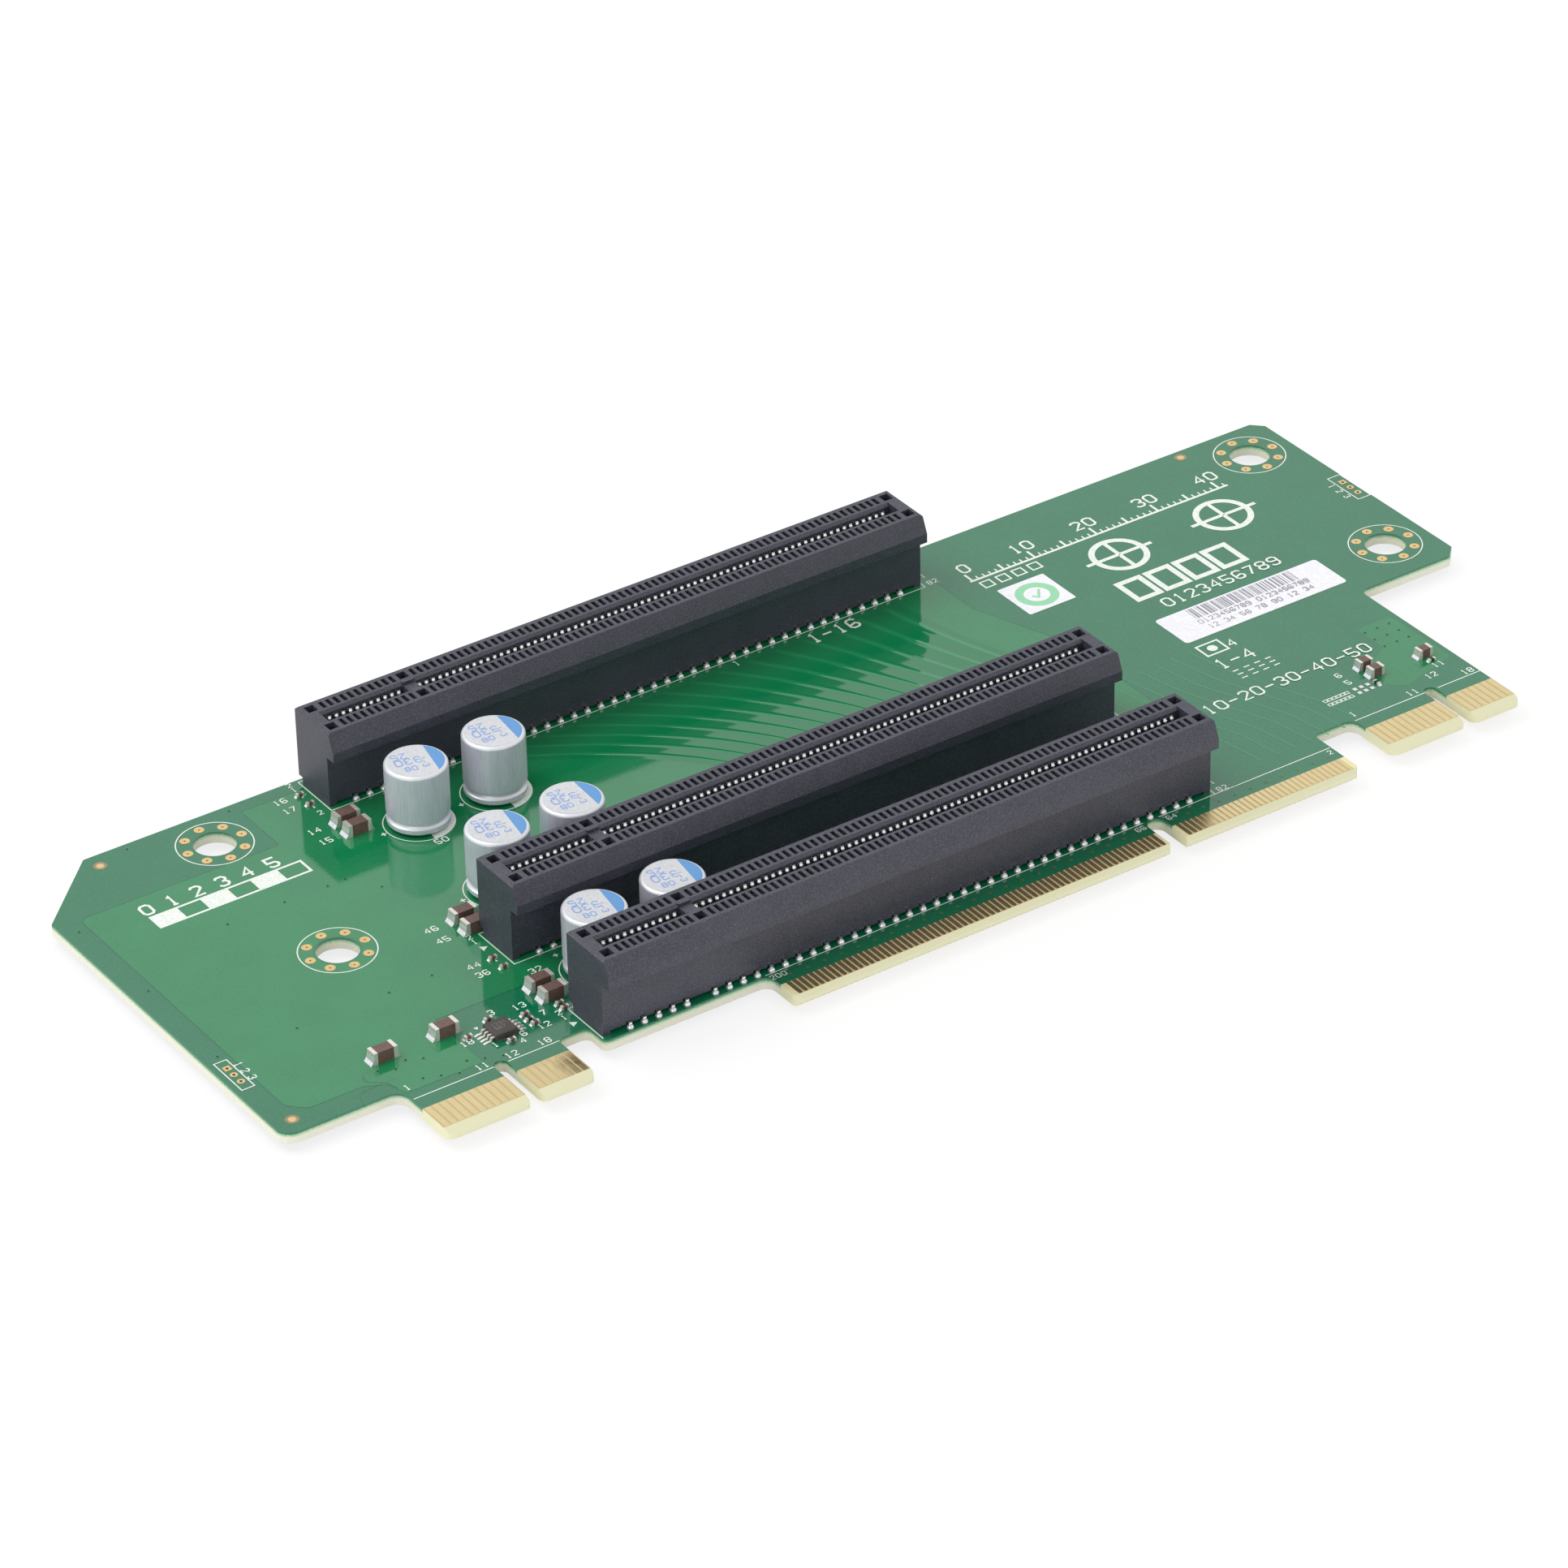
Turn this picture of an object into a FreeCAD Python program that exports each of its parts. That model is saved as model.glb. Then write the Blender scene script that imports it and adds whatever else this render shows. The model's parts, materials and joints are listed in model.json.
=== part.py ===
import FreeCAD, Part
import math
import os

V = FreeCAD.Vector

# Frame: the origin is the centre of the four mounting holes on the board's underside.
# +X runs along the sockets, +Y points to the far long edge, +Z is the socket side.

# Board outline, measured at the copper surfaces
BOARD_T = 1.57
BOARD_LEFT = -104.45
BOARD_RIGHT = 86.05
BOARD_FAR = 20.7
LEFT_FRONT_Y = -43.2
LEFT_FRONT_R = 2.0
FAR_LEFT_CUT = 10.1
FAR_RIGHT_CUT = 1.5
STEP_Y = -21.55
STEP_CUT = 1.6
STEP_R = 1.2

# Two short edge tabs, left and right
TAB_W = 20.1
TAB_TIP_Y = -53.8
TAB_CORNER_R = 1.1
LEFT_TAB_X = -88.75
RIGHT_TAB_X = 49.5
LEFT_TAB_ROOT_R = 1.8
NOTCH_W = 1.8
NOTCH_END_Y = -44.9
NOTCH_MOUTH_R = 0.7
BEVEL_LEN = 1.4
BEVEL_DEPTH = 0.5

# Long edge tab in the middle
LONG_TAB_X = -41.2
LONG_TAB_W = 84.5
LONG_TAB_TIP_Y = -54.7
LONG_TAB_CORNER_R = 1.2
LONG_NOTCH_W = 2.5
LONG_NOTCH_END_Y = -48.75
LONG_BEVEL = 0.5

# Edges between the tabs
RELIEF_W = 4.25
RELIEF_END_Y = -45.3
RELIEF_R = 1.0
SHELF_Y = -48.9
SHELF_CORNER_R = 0.9
SHELF_ROOT_R = 1.5
RECESS_END_Y = -45.2
RECESS_LEFT_R = 1.0
RECESS_RIGHT_R = 1.4

# Mounting holes
HOLE_SPACING_X = 159.2
HOLE_SPACING_Y = 28.6
HOLE_R = 2.7

# Edge fingers
FINGER_T = 0.04
FINGER_PITCH = 1.0
FINGER_W = 0.75
FINGER_TOP_Y = -47.9
FINGER_INSET = 0.55
FINGERS_BEFORE_NOTCH = 11
FINGERS_AFTER_NOTCH = 7
KEY_GAP = 3.0
LONG_FINGER_PITCH = 0.8
LONG_FINGER_W = 0.55
LONG_FINGER_STUB_W = 0.3
LONG_FINGER_STUB = 0.35
LONG_FINGER_TOP_Y = -51.4
LONG_FINGER_INSET = 1.0
LONG_FINGERS_BEFORE = 68
LONG_FINGERS_AFTER = 32
LONG_KEY_GAP = 4.0

# Card sockets, three alike
SLOT_FIRST_X = -60.95
SLOT_Y = (16.2, -25.25, -44.76)
CONTACT_PITCH = 1.0
CONTACTS_BEFORE_KEY = 11
CONTACTS_AFTER_KEY = 71
HOUSING_END = 3.0
HOUSING_H = 10.9
HOUSING_TOP_HALF = 3.7
FLANGE_HALF = 4.77
FLANGE_TOP_Z = 8.45
FLANGE_BOTTOM_Z = 7.15
WALL_HALF = 3.2
FAR_WALL = 4.05
FAR_EDGE = 0.3
FAR_WALL_Z = 1.05
SKIRT_GAP = 0.8
SKIRT_EDGE_Z = 0.42
SKIRT_EDGE_T = 0.2
TAIL_NOTCH_W = 0.68
FOOT_LEN = 1.0
END_CHAMFER = 0.3
CARD_SLOT_W = 1.86
CARD_DEPTH = 7.8
CARD_SLOT_LEFT = 1.3
CARD_SLOT_RIGHT = 1.1
LEAD_IN = 0.3
LEAD_IN_DEPTH = 0.4
KEY_BRIDGE_W = 1.7
KEY_BRIDGE_DROP = 0.4
CAVITY_W = 0.53
CAVITY_IN = 1.62
CAVITY_OUT = 3.15
LIP_H = 0.7
POCKET_W = 1.3
POCKET_IN = 1.72
POCKET_DEPTH = 4.5
POCKET_OFFSET = 1.65
PEG_R = 1.1
PEG_CLEAR = 0.1
PEG_OUT = 1.3
PEG_TIP = 0.3

# Socket contacts
CONTACT_T = 0.2
CONTACT_W = 0.44
CONTACT_CLEAR = 0.02
CONTACT_REACH = 0.22
LEG_WALL_GAP = 0.2
LEG_RISE = 2.6
BULGE_DROP = 0.5
OUTER_ROW = 3.5
INNER_ROW = 1.6
TAIL_SHIFT = 0.45
TAIL_OUT = 0.4
TAIL_HOLE_R = 0.38
RUN_CLEAR = 0.06
SOLDER_R = 0.46
SOLDER_RISE = 0.05
SOLDER_NECK_R = 0.28
UNDER_SOLDER_H = 0.35
SOLDER_H = 0.7

# Can capacitors
CAN_R = 4.0
CAN_H = 8.8
CAN_EDGE_R = 0.45
CAN_WALL = 0.3
CAN_LIFT = 0.35
CAN_FOOT_R = 0.45
CAN_RIM_H = 1.15
CAN_GROOVE_H = 1.1
CAN_GROOVE_DEPTH = 0.4
CAN_XY = ((-56.85, 3.8), (-45.6, 3.95), (-56.75, -14.35), (-46.05, -14.4),
          (-56.8, -35.65), (-45.75, -35.7))
SEAL_LIFT = 0.15
LEAD_R = 0.3
LEAD_PITCH = 3.5
LEAD_OUT = 1.0
LEAD_HOLE_CLEAR = 0.12

# Chip parts: length, width, height, end cap length, solder reach
LARGE_CHIP = (3.2, 1.6, 1.6, 0.5, 0.5)
MEDIUM_CHIP = (2.0, 1.25, 1.25, 0.4, 0.4)
SMALL_CHIP = (1.0, 0.5, 0.5, 0.25, 0.25)
CAP_WRAP = 0.03
LARGE_CHIP_XY = ((-87.05, -36.5), (-78.65, -36.55), (-64.05, 9.1), (-64.05, 6.45),
                 (-63.9, -17.4), (-63.9, -20.05), (-64.3, -34.9), (-64.2, -37.55))
MEDIUM_CHIP_XY = ((58.35, -36.4), (58.45, -38.55), (66.15, -38.65))
SMALL_CHIP_XY = ((-65.65, 17.3), (-65.65, 14.9), (-65.7, -26.8), (-65.6, -29.1),
                 (-76.9, -39.0), (-73.05, -37.3), (-73.1, -42.5), (-68.95, -38.9),
                 (-68.95, -41.1), (-64.45, -39.4), (-64.45, -40.5))
RESISTOR_H = 0.35
RESISTOR_XY = ((-69.05, -40.0), (66.25, -40.2))
UPRIGHT_RESISTOR_XY = (57.25, -40.4)

# Eight-lead chip
IC_XY = (-73.15, -40.15)
IC_SIDE = 3.0
IC_H = 0.9
IC_LIFT = 0.1
IC_EDGE = 0.12
IC_SPAN = 4.9
IC_LEAD_PITCH = 0.65
IC_LEAD_W = 0.3
IC_LEAD_T = 0.15
IC_LEAD_FOOT = 0.5
IC_LEAD_RISE = 0.5

# Labels
LABEL_T = 0.08
SERIAL_LABEL_W = 25.95
SERIAL_LABEL_D = 6.8
SERIAL_LABEL_XY = (56.78, -15.4)
SERIAL_LABEL_R = 0.5
STICKER_SIDE = 7.3
STICKER_XY = (35.7, 2.3)
STICKER_R = 0.2


def rounded_face(corners):
    """Flat face at z = 0 through corners (x, y, radius), each rounded by its radius."""
    count = len(corners)
    starts = []
    for i in range(count):
        x, y, r = corners[i]
        here = V(x, y, 0)
        back = V(corners[i - 1][0], corners[i - 1][1], 0) - here
        ahead = V(corners[(i + 1) % count][0], corners[(i + 1) % count][1], 0) - here
        back.normalize()
        ahead.normalize()
        if r <= 0:
            starts.append((here, None, here))
            continue
        half = back.getAngle(ahead) / 2
        reach = r / math.tan(half)
        middle = (back + ahead).normalize()
        centre = here + middle * (r / math.sin(half))
        starts.append((here + back * reach, centre - middle * r, here + ahead * reach))
    edges = []
    for i in range(count):
        first, mid, last = starts[i]
        if mid is not None:
            edges.append(Part.Arc(first, mid, last).toShape())
        following = starts[(i + 1) % count][0]
        if last.distanceToPoint(following) > 1e-5:
            edges.append(Part.LineSegment(last, following).toShape())
    return Part.Face(Part.Wire(edges))


def yz_prism(points, x0, length):
    """Solid with the given (y, z) outline, run along X."""
    ring = [V(x0, y, z) for y, z in points]
    return Part.Face(Part.makePolygon(ring + ring[:1])).extrude(V(length, 0, 0))


def strip_outline(path, thickness):
    """Closed outline of a bent strip around a centre path of (a, b) points."""
    left = []
    right = []
    for i in range(len(path)):
        ways = []
        if i > 0:
            ways.append((path[i][0] - path[i - 1][0], path[i][1] - path[i - 1][1]))
        if i < len(path) - 1:
            ways.append((path[i + 1][0] - path[i][0], path[i + 1][1] - path[i][1]))
        units = [(a / math.hypot(a, b), b / math.hypot(a, b)) for a, b in ways]
        a = sum(u[0] for u in units)
        b = sum(u[1] for u in units)
        size = math.hypot(a, b)
        a, b = a / size, b / size
        out = thickness / 2 / (a * units[0][0] + b * units[0][1])
        left.append((path[i][0] - b * out, path[i][1] + a * out))
        right.append((path[i][0] + b * out, path[i][1] - a * out))
    return left + right[::-1]


def moved(shape, x, y, z=0.0):
    copy = shape.copy()
    copy.translate(V(x, y, z))
    return copy


def box(x0, x1, y0, y1, z0, z1):
    return Part.makeBox(x1 - x0, y1 - y0, z1 - z0, V(x0, y0, z0))


def group(solids):
    return Part.makeCompound(solids)


os.makedirs("parts", exist_ok=True)


def save(name, shape):
    shape.exportStep("parts/" + name + ".step")


# Places along a row of contacts or fingers, with the wider step across the key
def row(first, pitch, before, gap, after):
    places = [first + pitch * i for i in range(before)]
    return places + [places[-1] + gap + pitch * i for i in range(after)]


contact_x = row(0.0, CONTACT_PITCH, CONTACTS_BEFORE_KEY, KEY_GAP, CONTACTS_AFTER_KEY)
row_length = contact_x[-1]
key_x = contact_x[CONTACTS_BEFORE_KEY - 1] + KEY_GAP / 2
peg_x = (key_x, row_length + POCKET_OFFSET)
tail_rows = []
for i in range(len(contact_x)):
    tail_rows.append((contact_x[i], OUTER_ROW if i % 2 else INNER_ROW))


# Circuit board
def tab_corners(x0, width, tip, corner_r, notch_x, notch_w, notch_end, mouth_r):
    """Tip of an edge tab, left to right, with its round-ended notch."""
    half = notch_w / 2
    return [(x0, tip, corner_r), (notch_x - half, tip, mouth_r),
            (notch_x - half, notch_end, half), (notch_x + half, notch_end, half),
            (notch_x + half, tip, mouth_r), (x0 + width, tip, corner_r)]


short_fingers = row(FINGER_INSET, FINGER_PITCH, FINGERS_BEFORE_NOTCH, KEY_GAP,
                    FINGERS_AFTER_NOTCH)
short_notch = short_fingers[FINGERS_BEFORE_NOTCH - 1] + KEY_GAP / 2
long_fingers = row(LONG_FINGER_INSET, LONG_FINGER_PITCH, LONG_FINGERS_BEFORE,
                   LONG_KEY_GAP, LONG_FINGERS_AFTER)
long_notch = long_fingers[LONG_FINGERS_BEFORE - 1] + LONG_KEY_GAP / 2


def short_tab(x0):
    return tab_corners(x0, TAB_W, TAB_TIP_Y, TAB_CORNER_R, x0 + short_notch, NOTCH_W,
                       NOTCH_END_Y, NOTCH_MOUTH_R)


relief_right = LEFT_TAB_X + TAB_W + RELIEF_W
outline = [(BOARD_LEFT, LEFT_FRONT_Y, LEFT_FRONT_R),
           (LEFT_TAB_X, LEFT_FRONT_Y, LEFT_TAB_ROOT_R)]
outline += short_tab(LEFT_TAB_X)
outline += [(LEFT_TAB_X + TAB_W, RELIEF_END_Y, RELIEF_R),
            (relief_right, RELIEF_END_Y, RELIEF_R),
            (relief_right, SHELF_Y, SHELF_CORNER_R),
            (LONG_TAB_X, SHELF_Y, SHELF_ROOT_R)]
outline += tab_corners(LONG_TAB_X, LONG_TAB_W, LONG_TAB_TIP_Y, LONG_TAB_CORNER_R,
                       LONG_TAB_X + long_notch, LONG_NOTCH_W, LONG_NOTCH_END_Y,
                       NOTCH_MOUTH_R)
outline += [(LONG_TAB_X + LONG_TAB_W, RECESS_END_Y, RECESS_LEFT_R),
            (RIGHT_TAB_X, RECESS_END_Y, RECESS_RIGHT_R)]
outline += short_tab(RIGHT_TAB_X)
outline += [(RIGHT_TAB_X + TAB_W, STEP_Y, STEP_R),
            (BOARD_RIGHT - STEP_CUT, STEP_Y, 0),
            (BOARD_RIGHT, STEP_Y + STEP_CUT, 0),
            (BOARD_RIGHT, BOARD_FAR - FAR_RIGHT_CUT, 0),
            (BOARD_RIGHT - FAR_RIGHT_CUT, BOARD_FAR, 0),
            (BOARD_LEFT + FAR_LEFT_CUT, BOARD_FAR, 0),
            (BOARD_LEFT, BOARD_FAR - FAR_LEFT_CUT, 0)]
board = rounded_face(outline).extrude(V(0, 0, BOARD_T))

holes = []
for sx in (-1, 1):
    for sy in (-1, 1):
        holes.append((sx * HOLE_SPACING_X / 2, sy * HOLE_SPACING_Y / 2, HOLE_R))
for slot_y in SLOT_Y:
    for x in peg_x:
        holes.append((SLOT_FIRST_X + x, slot_y, PEG_R + PEG_CLEAR))
    for x, y in tail_rows:
        for side in (-1, 1):
            holes.append((SLOT_FIRST_X + x - TAIL_SHIFT, slot_y + side * y, TAIL_HOLE_R))
for x, y in CAN_XY:
    for side in (-1, 1):
        holes.append((x, y + side * LEAD_PITCH / 2, LEAD_R + LEAD_HOLE_CLEAR))
drills = [Part.makeCylinder(r, BOARD_T + 2, V(x, y, -1)) for x, y, r in holes]
board = board.cut(group(drills))


def bevel(x0, width, tip, length, depth):
    """Wedges that take the tip's upper and lower edge off."""
    wedges = []
    for z, way in ((BOARD_T, -1), (0.0, 1)):
        ring = [(tip - 1, z - way), (tip - 1, z + way * depth), (tip, z + way * depth),
                (tip + length, z), (tip + length, z - way)]
        wedges.append(yz_prism(ring, x0 - 1, width + 2))
    return wedges


wedges = bevel(LEFT_TAB_X, TAB_W, TAB_TIP_Y, BEVEL_LEN, BEVEL_DEPTH)
wedges += bevel(RIGHT_TAB_X, TAB_W, TAB_TIP_Y, BEVEL_LEN, BEVEL_DEPTH)
wedges += bevel(LONG_TAB_X, LONG_TAB_W, LONG_TAB_TIP_Y, LONG_BEVEL, LONG_BEVEL)
for wedge in wedges:
    board = board.cut(wedge)
save("circuit_board", board)


# Edge fingers on both faces of each tab
def fingers(x0, places, width, top, bottom, stub_w, stub_y):
    plates = []
    for x in places:
        ring = [(x - width / 2, top), (x - width / 2, stub_y), (x - stub_w / 2, bottom),
                (x + stub_w / 2, bottom), (x + width / 2, stub_y), (x + width / 2, top)]
        points = [V(x0 + a, b, 0) for a, b in ring]
        if stub_y <= bottom:
            points = [points[0], points[1], points[4], points[5]]
        plate = Part.Face(Part.makePolygon(points + points[:1])).extrude(V(0, 0, FINGER_T))
        plates.append(moved(plate, 0, 0, BOARD_T))
        plates.append(moved(plate, 0, 0, -FINGER_T))
    return group(plates)


short_bottom = TAB_TIP_Y + BEVEL_LEN
long_bottom = LONG_TAB_TIP_Y + LONG_BEVEL
save("left_edge_fingers", fingers(LEFT_TAB_X, short_fingers, FINGER_W, FINGER_TOP_Y,
                                  short_bottom, FINGER_W, short_bottom))
save("right_edge_fingers", fingers(RIGHT_TAB_X, short_fingers, FINGER_W, FINGER_TOP_Y,
                                   short_bottom, FINGER_W, short_bottom))
save("centre_edge_fingers", fingers(LONG_TAB_X, long_fingers, LONG_FINGER_W,
                                    LONG_FINGER_TOP_Y, long_bottom, LONG_FINGER_STUB_W,
                                    long_bottom + LONG_FINGER_STUB))

# Socket housing at y = 0, with the board's top at z = 0 and contact 1 at x = 0
card_half = CARD_SLOT_W / 2
slot_floor = HOUSING_H - CARD_DEPTH
section = [(-WALL_HALF, 0), (-WALL_HALF, FLANGE_BOTTOM_Z), (-FLANGE_HALF, FLANGE_BOTTOM_Z),
           (-FLANGE_HALF, FLANGE_TOP_Z), (-HOUSING_TOP_HALF, HOUSING_H),
           (FAR_WALL - FAR_EDGE, HOUSING_H), (FAR_WALL, HOUSING_H - FAR_EDGE),
           (FAR_WALL, FAR_WALL_Z), (WALL_HALF, FAR_WALL_Z), (WALL_HALF, 0)]
housing = yz_prism(section, -HOUSING_END, row_length + 2 * HOUSING_END)
skirt_left = -HOUSING_END + FOOT_LEN
skirt_right = row_length + HOUSING_END - FOOT_LEN
edge_y = -WALL_HALF + SKIRT_EDGE_T
housing = housing.cut(box(skirt_left, skirt_right, edge_y, WALL_HALF + 1, -1, SKIRT_GAP))
housing = housing.cut(box(skirt_left, skirt_right, -WALL_HALF - 1, edge_y, -1, SKIRT_EDGE_Z))
notch = box(-TAIL_SHIFT - TAIL_NOTCH_W / 2, -TAIL_SHIFT + TAIL_NOTCH_W / 2,
            -WALL_HALF - 1, edge_y, -1, SKIRT_GAP)
housing = housing.cut(group([moved(notch, x, 0) for x, y in tail_rows if y == OUTER_ROW]))
for x, way in ((-HOUSING_END, 1), (row_length + HOUSING_END, -1)):
    corner = [V(x - way, -FLANGE_HALF - 1, HOUSING_H - END_CHAMFER - 1),
              V(x + way * (END_CHAMFER + 1), -FLANGE_HALF - 1, HOUSING_H + 1),
              V(x - way, -FLANGE_HALF - 1, HOUSING_H + 1)]
    wedge = Part.Face(Part.makePolygon(corner + corner[:1]))
    housing = housing.cut(wedge.extrude(V(0, 2 * FLANGE_HALF + 2, 0)))
for x in peg_x:
    peg = Part.makeCylinder(PEG_R, SKIRT_GAP + BOARD_T + PEG_OUT - PEG_TIP + 0.5,
                            V(x, 0, -BOARD_T - PEG_OUT + PEG_TIP))
    tip = Part.makeCone(PEG_R - PEG_TIP, PEG_R, PEG_TIP, V(x, 0, -BOARD_T - PEG_OUT))
    housing = housing.fuse(peg.fuse(tip))
mouth = [(-card_half, slot_floor), (card_half, slot_floor),
         (card_half, HOUSING_H - LEAD_IN_DEPTH), (card_half + LEAD_IN, HOUSING_H),
         (card_half + LEAD_IN, HOUSING_H + 1), (-card_half - LEAD_IN, HOUSING_H + 1),
         (-card_half - LEAD_IN, HOUSING_H), (-card_half, HOUSING_H - LEAD_IN_DEPTH)]
bridge_left = key_x - KEY_BRIDGE_W / 2
bridge_right = key_x + KEY_BRIDGE_W / 2
housing = housing.cut(yz_prism(mouth, -CARD_SLOT_LEFT, bridge_left + CARD_SLOT_LEFT))
housing = housing.cut(yz_prism(mouth, bridge_right,
                               row_length + CARD_SLOT_RIGHT - bridge_right))
housing = housing.cut(box(bridge_left - 0.2, bridge_right + 0.2, -card_half, card_half,
                          HOUSING_H - KEY_BRIDGE_DROP, HOUSING_H + 1))
pockets = []
for x in (-POCKET_OFFSET, key_x, row_length + POCKET_OFFSET):
    for low, high in ((POCKET_IN, CAVITY_OUT), (-CAVITY_OUT, -POCKET_IN)):
        pockets.append(box(x - POCKET_W / 2, x + POCKET_W / 2, low, high,
                           HOUSING_H - POCKET_DEPTH, HOUSING_H + 1))
housing = housing.cut(group(pockets))
lip_z = HOUSING_H - LIP_H
cavity = [(card_half / 2, slot_floor), (CAVITY_OUT, slot_floor),
          (CAVITY_OUT, HOUSING_H + 1), (CAVITY_IN, HOUSING_H + 1), (CAVITY_IN, lip_z),
          (card_half / 2, lip_z)]
leg_y = CAVITY_OUT - LEG_WALL_GAP - CONTACT_T / 2
leg_half = CONTACT_T / 2 + CONTACT_CLEAR
throat = [(leg_y - leg_half, SKIRT_GAP - 0.5), (leg_y + leg_half, SKIRT_GAP - 0.5),
          (leg_y + leg_half, slot_floor + 0.5), (leg_y - leg_half, slot_floor + 0.5)]
throat_w = CONTACT_W + 2 * CONTACT_CLEAR
for ring, width in ((cavity, CAVITY_W), (throat, throat_w)):
    cutters = []
    for side in (-1, 1):
        cutter = yz_prism([(side * y, z) for y, z in ring], -width / 2, width)
        cutters += [moved(cutter, x, 0) for x in contact_x]
    housing = housing.cut(group(cutters))

# Bent spring contact, drawn on the far side of the card
run_z = SKIRT_GAP - RUN_CLEAR - CONTACT_T / 2
bulge_y = card_half - CONTACT_REACH + CONTACT_T / 2
bulge_z = lip_z - BULGE_DROP
spring = [(leg_y, slot_floor + LEG_RISE), (bulge_y + 0.75, bulge_z - 1.3),
          (bulge_y + 0.22, bulge_z - 0.38), (bulge_y, bulge_z),
          (bulge_y + 0.12, bulge_z + 0.22), (bulge_y + 0.4, bulge_z + 0.34),
          (CAVITY_IN + 0.2, bulge_z + 0.3)]


def contact(tail_y):
    """Upright spring, a step to the left and a run under the skirt, and a tail."""
    upright = yz_prism(strip_outline([(leg_y, run_z)] + spring, CONTACT_T),
                       -CONTACT_W / 2, CONTACT_W)
    low, high = min(tail_y, leg_y) - CONTACT_T / 2, max(tail_y, leg_y) + CONTACT_T / 2
    left = -CONTACT_W / 2 - TAIL_SHIFT
    step = box(left, CONTACT_W / 2, leg_y - CONTACT_T / 2, leg_y + CONTACT_T / 2,
               run_z - CONTACT_T / 2, run_z + CONTACT_T / 2)
    run = box(left, left + CONTACT_W, low, high, run_z - CONTACT_T / 2, run_z + CONTACT_T / 2)
    tail = box(left, left + CONTACT_W, tail_y - CONTACT_T / 2, tail_y + CONTACT_T / 2,
               -BOARD_T - TAIL_OUT, run_z + CONTACT_T / 2)
    return upright.fuse([step, run, tail]).removeSplitter().Solids[0]


# Solder around a tail, with the tail's own space left out
tail_space = box(-CONTACT_W / 2, CONTACT_W / 2, -CONTACT_T / 2, CONTACT_T / 2, -1, 1)


far_contact = {y: contact(y) for y in (OUTER_ROW, INNER_ROW)}
near_contact = {y: s.mirror(V(0, 0, 0), V(0, 1, 0)) for y, s in far_contact.items()}
top_solder = Part.makeSphere(SOLDER_R, V(0, 0, SOLDER_RISE))
top_solder = top_solder.cut(box(-1, 1, -1, 1, -1, 0)).cut(tail_space)
under_solder = Part.makeCone(SOLDER_R, SOLDER_NECK_R, UNDER_SOLDER_H).cut(tail_space)
under_solder.rotate(V(0, 0, 0), V(1, 0, 0), 180)
for i in range(len(SLOT_Y)):
    name = "slot_" + str(i + 1)
    slot_y = SLOT_Y[i]
    save(name + "_housing", moved(housing, SLOT_FIRST_X, slot_y, BOARD_T))
    far = [moved(far_contact[y], SLOT_FIRST_X + x, slot_y, BOARD_T) for x, y in tail_rows]
    near = [moved(near_contact[y], SLOT_FIRST_X + x, slot_y, BOARD_T) for x, y in tail_rows]
    save(name + "_far_contacts", group(far))
    save(name + "_near_contacts", group(near))
    joints = []
    for x, y in tail_rows:
        for side in (-1, 1):
            place = (SLOT_FIRST_X + x - TAIL_SHIFT, slot_y + side * y)
            joints.append(moved(under_solder, place[0], place[1], 0))
            if y == OUTER_ROW:
                joints.append(moved(top_solder, place[0], place[1], BOARD_T))
    save(name + "_solder_joints", group(joints))

# Can capacitors: drawn shell with a rolled groove, seal and two leads
groove_mid = CAN_RIM_H + CAN_GROOVE_H / 2
waist = CAN_R - CAN_GROOVE_DEPTH
top_arc = CAN_EDGE_R * (1 - math.sqrt(0.5))
foot_arc = CAN_FOOT_R * (1 - math.sqrt(0.5))
seal_r = waist - CAN_WALL
seal_top = CAN_RIM_H + CAN_GROOVE_H


def line(a, b):
    return Part.LineSegment(V(a[0], 0, a[1]), V(b[0], 0, b[1])).toShape()


def arc(a, b, c):
    return Part.Arc(V(a[0], 0, a[1]), V(b[0], 0, b[1]), V(c[0], 0, c[1])).toShape()


shell = Part.Wire([
    line((0, seal_top), (seal_r, seal_top)),
    line((seal_r, seal_top), (seal_r, CAN_LIFT)),
    line((seal_r, CAN_LIFT), (CAN_R - CAN_FOOT_R, CAN_LIFT)),
    arc((CAN_R - CAN_FOOT_R, CAN_LIFT), (CAN_R - foot_arc, CAN_LIFT + foot_arc),
        (CAN_R, CAN_LIFT + CAN_FOOT_R)),
    line((CAN_R, CAN_LIFT + CAN_FOOT_R), (CAN_R, CAN_RIM_H)),
    arc((CAN_R, CAN_RIM_H), (waist, groove_mid), (CAN_R, CAN_RIM_H + CAN_GROOVE_H)),
    line((CAN_R, CAN_RIM_H + CAN_GROOVE_H), (CAN_R, CAN_H - CAN_EDGE_R)),
    arc((CAN_R, CAN_H - CAN_EDGE_R), (CAN_R - top_arc, CAN_H - top_arc),
        (CAN_R - CAN_EDGE_R, CAN_H)),
    line((CAN_R - CAN_EDGE_R, CAN_H), (0, CAN_H)),
    line((0, CAN_H), (0, seal_top))])
can = Part.Face(shell).revolve(V(0, 0, 0), V(0, 0, 1), 360)
seal = Part.makeCylinder(seal_r, seal_top - SEAL_LIFT, V(0, 0, SEAL_LIFT))
seals = []
leads = []
lead_joints = []
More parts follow.
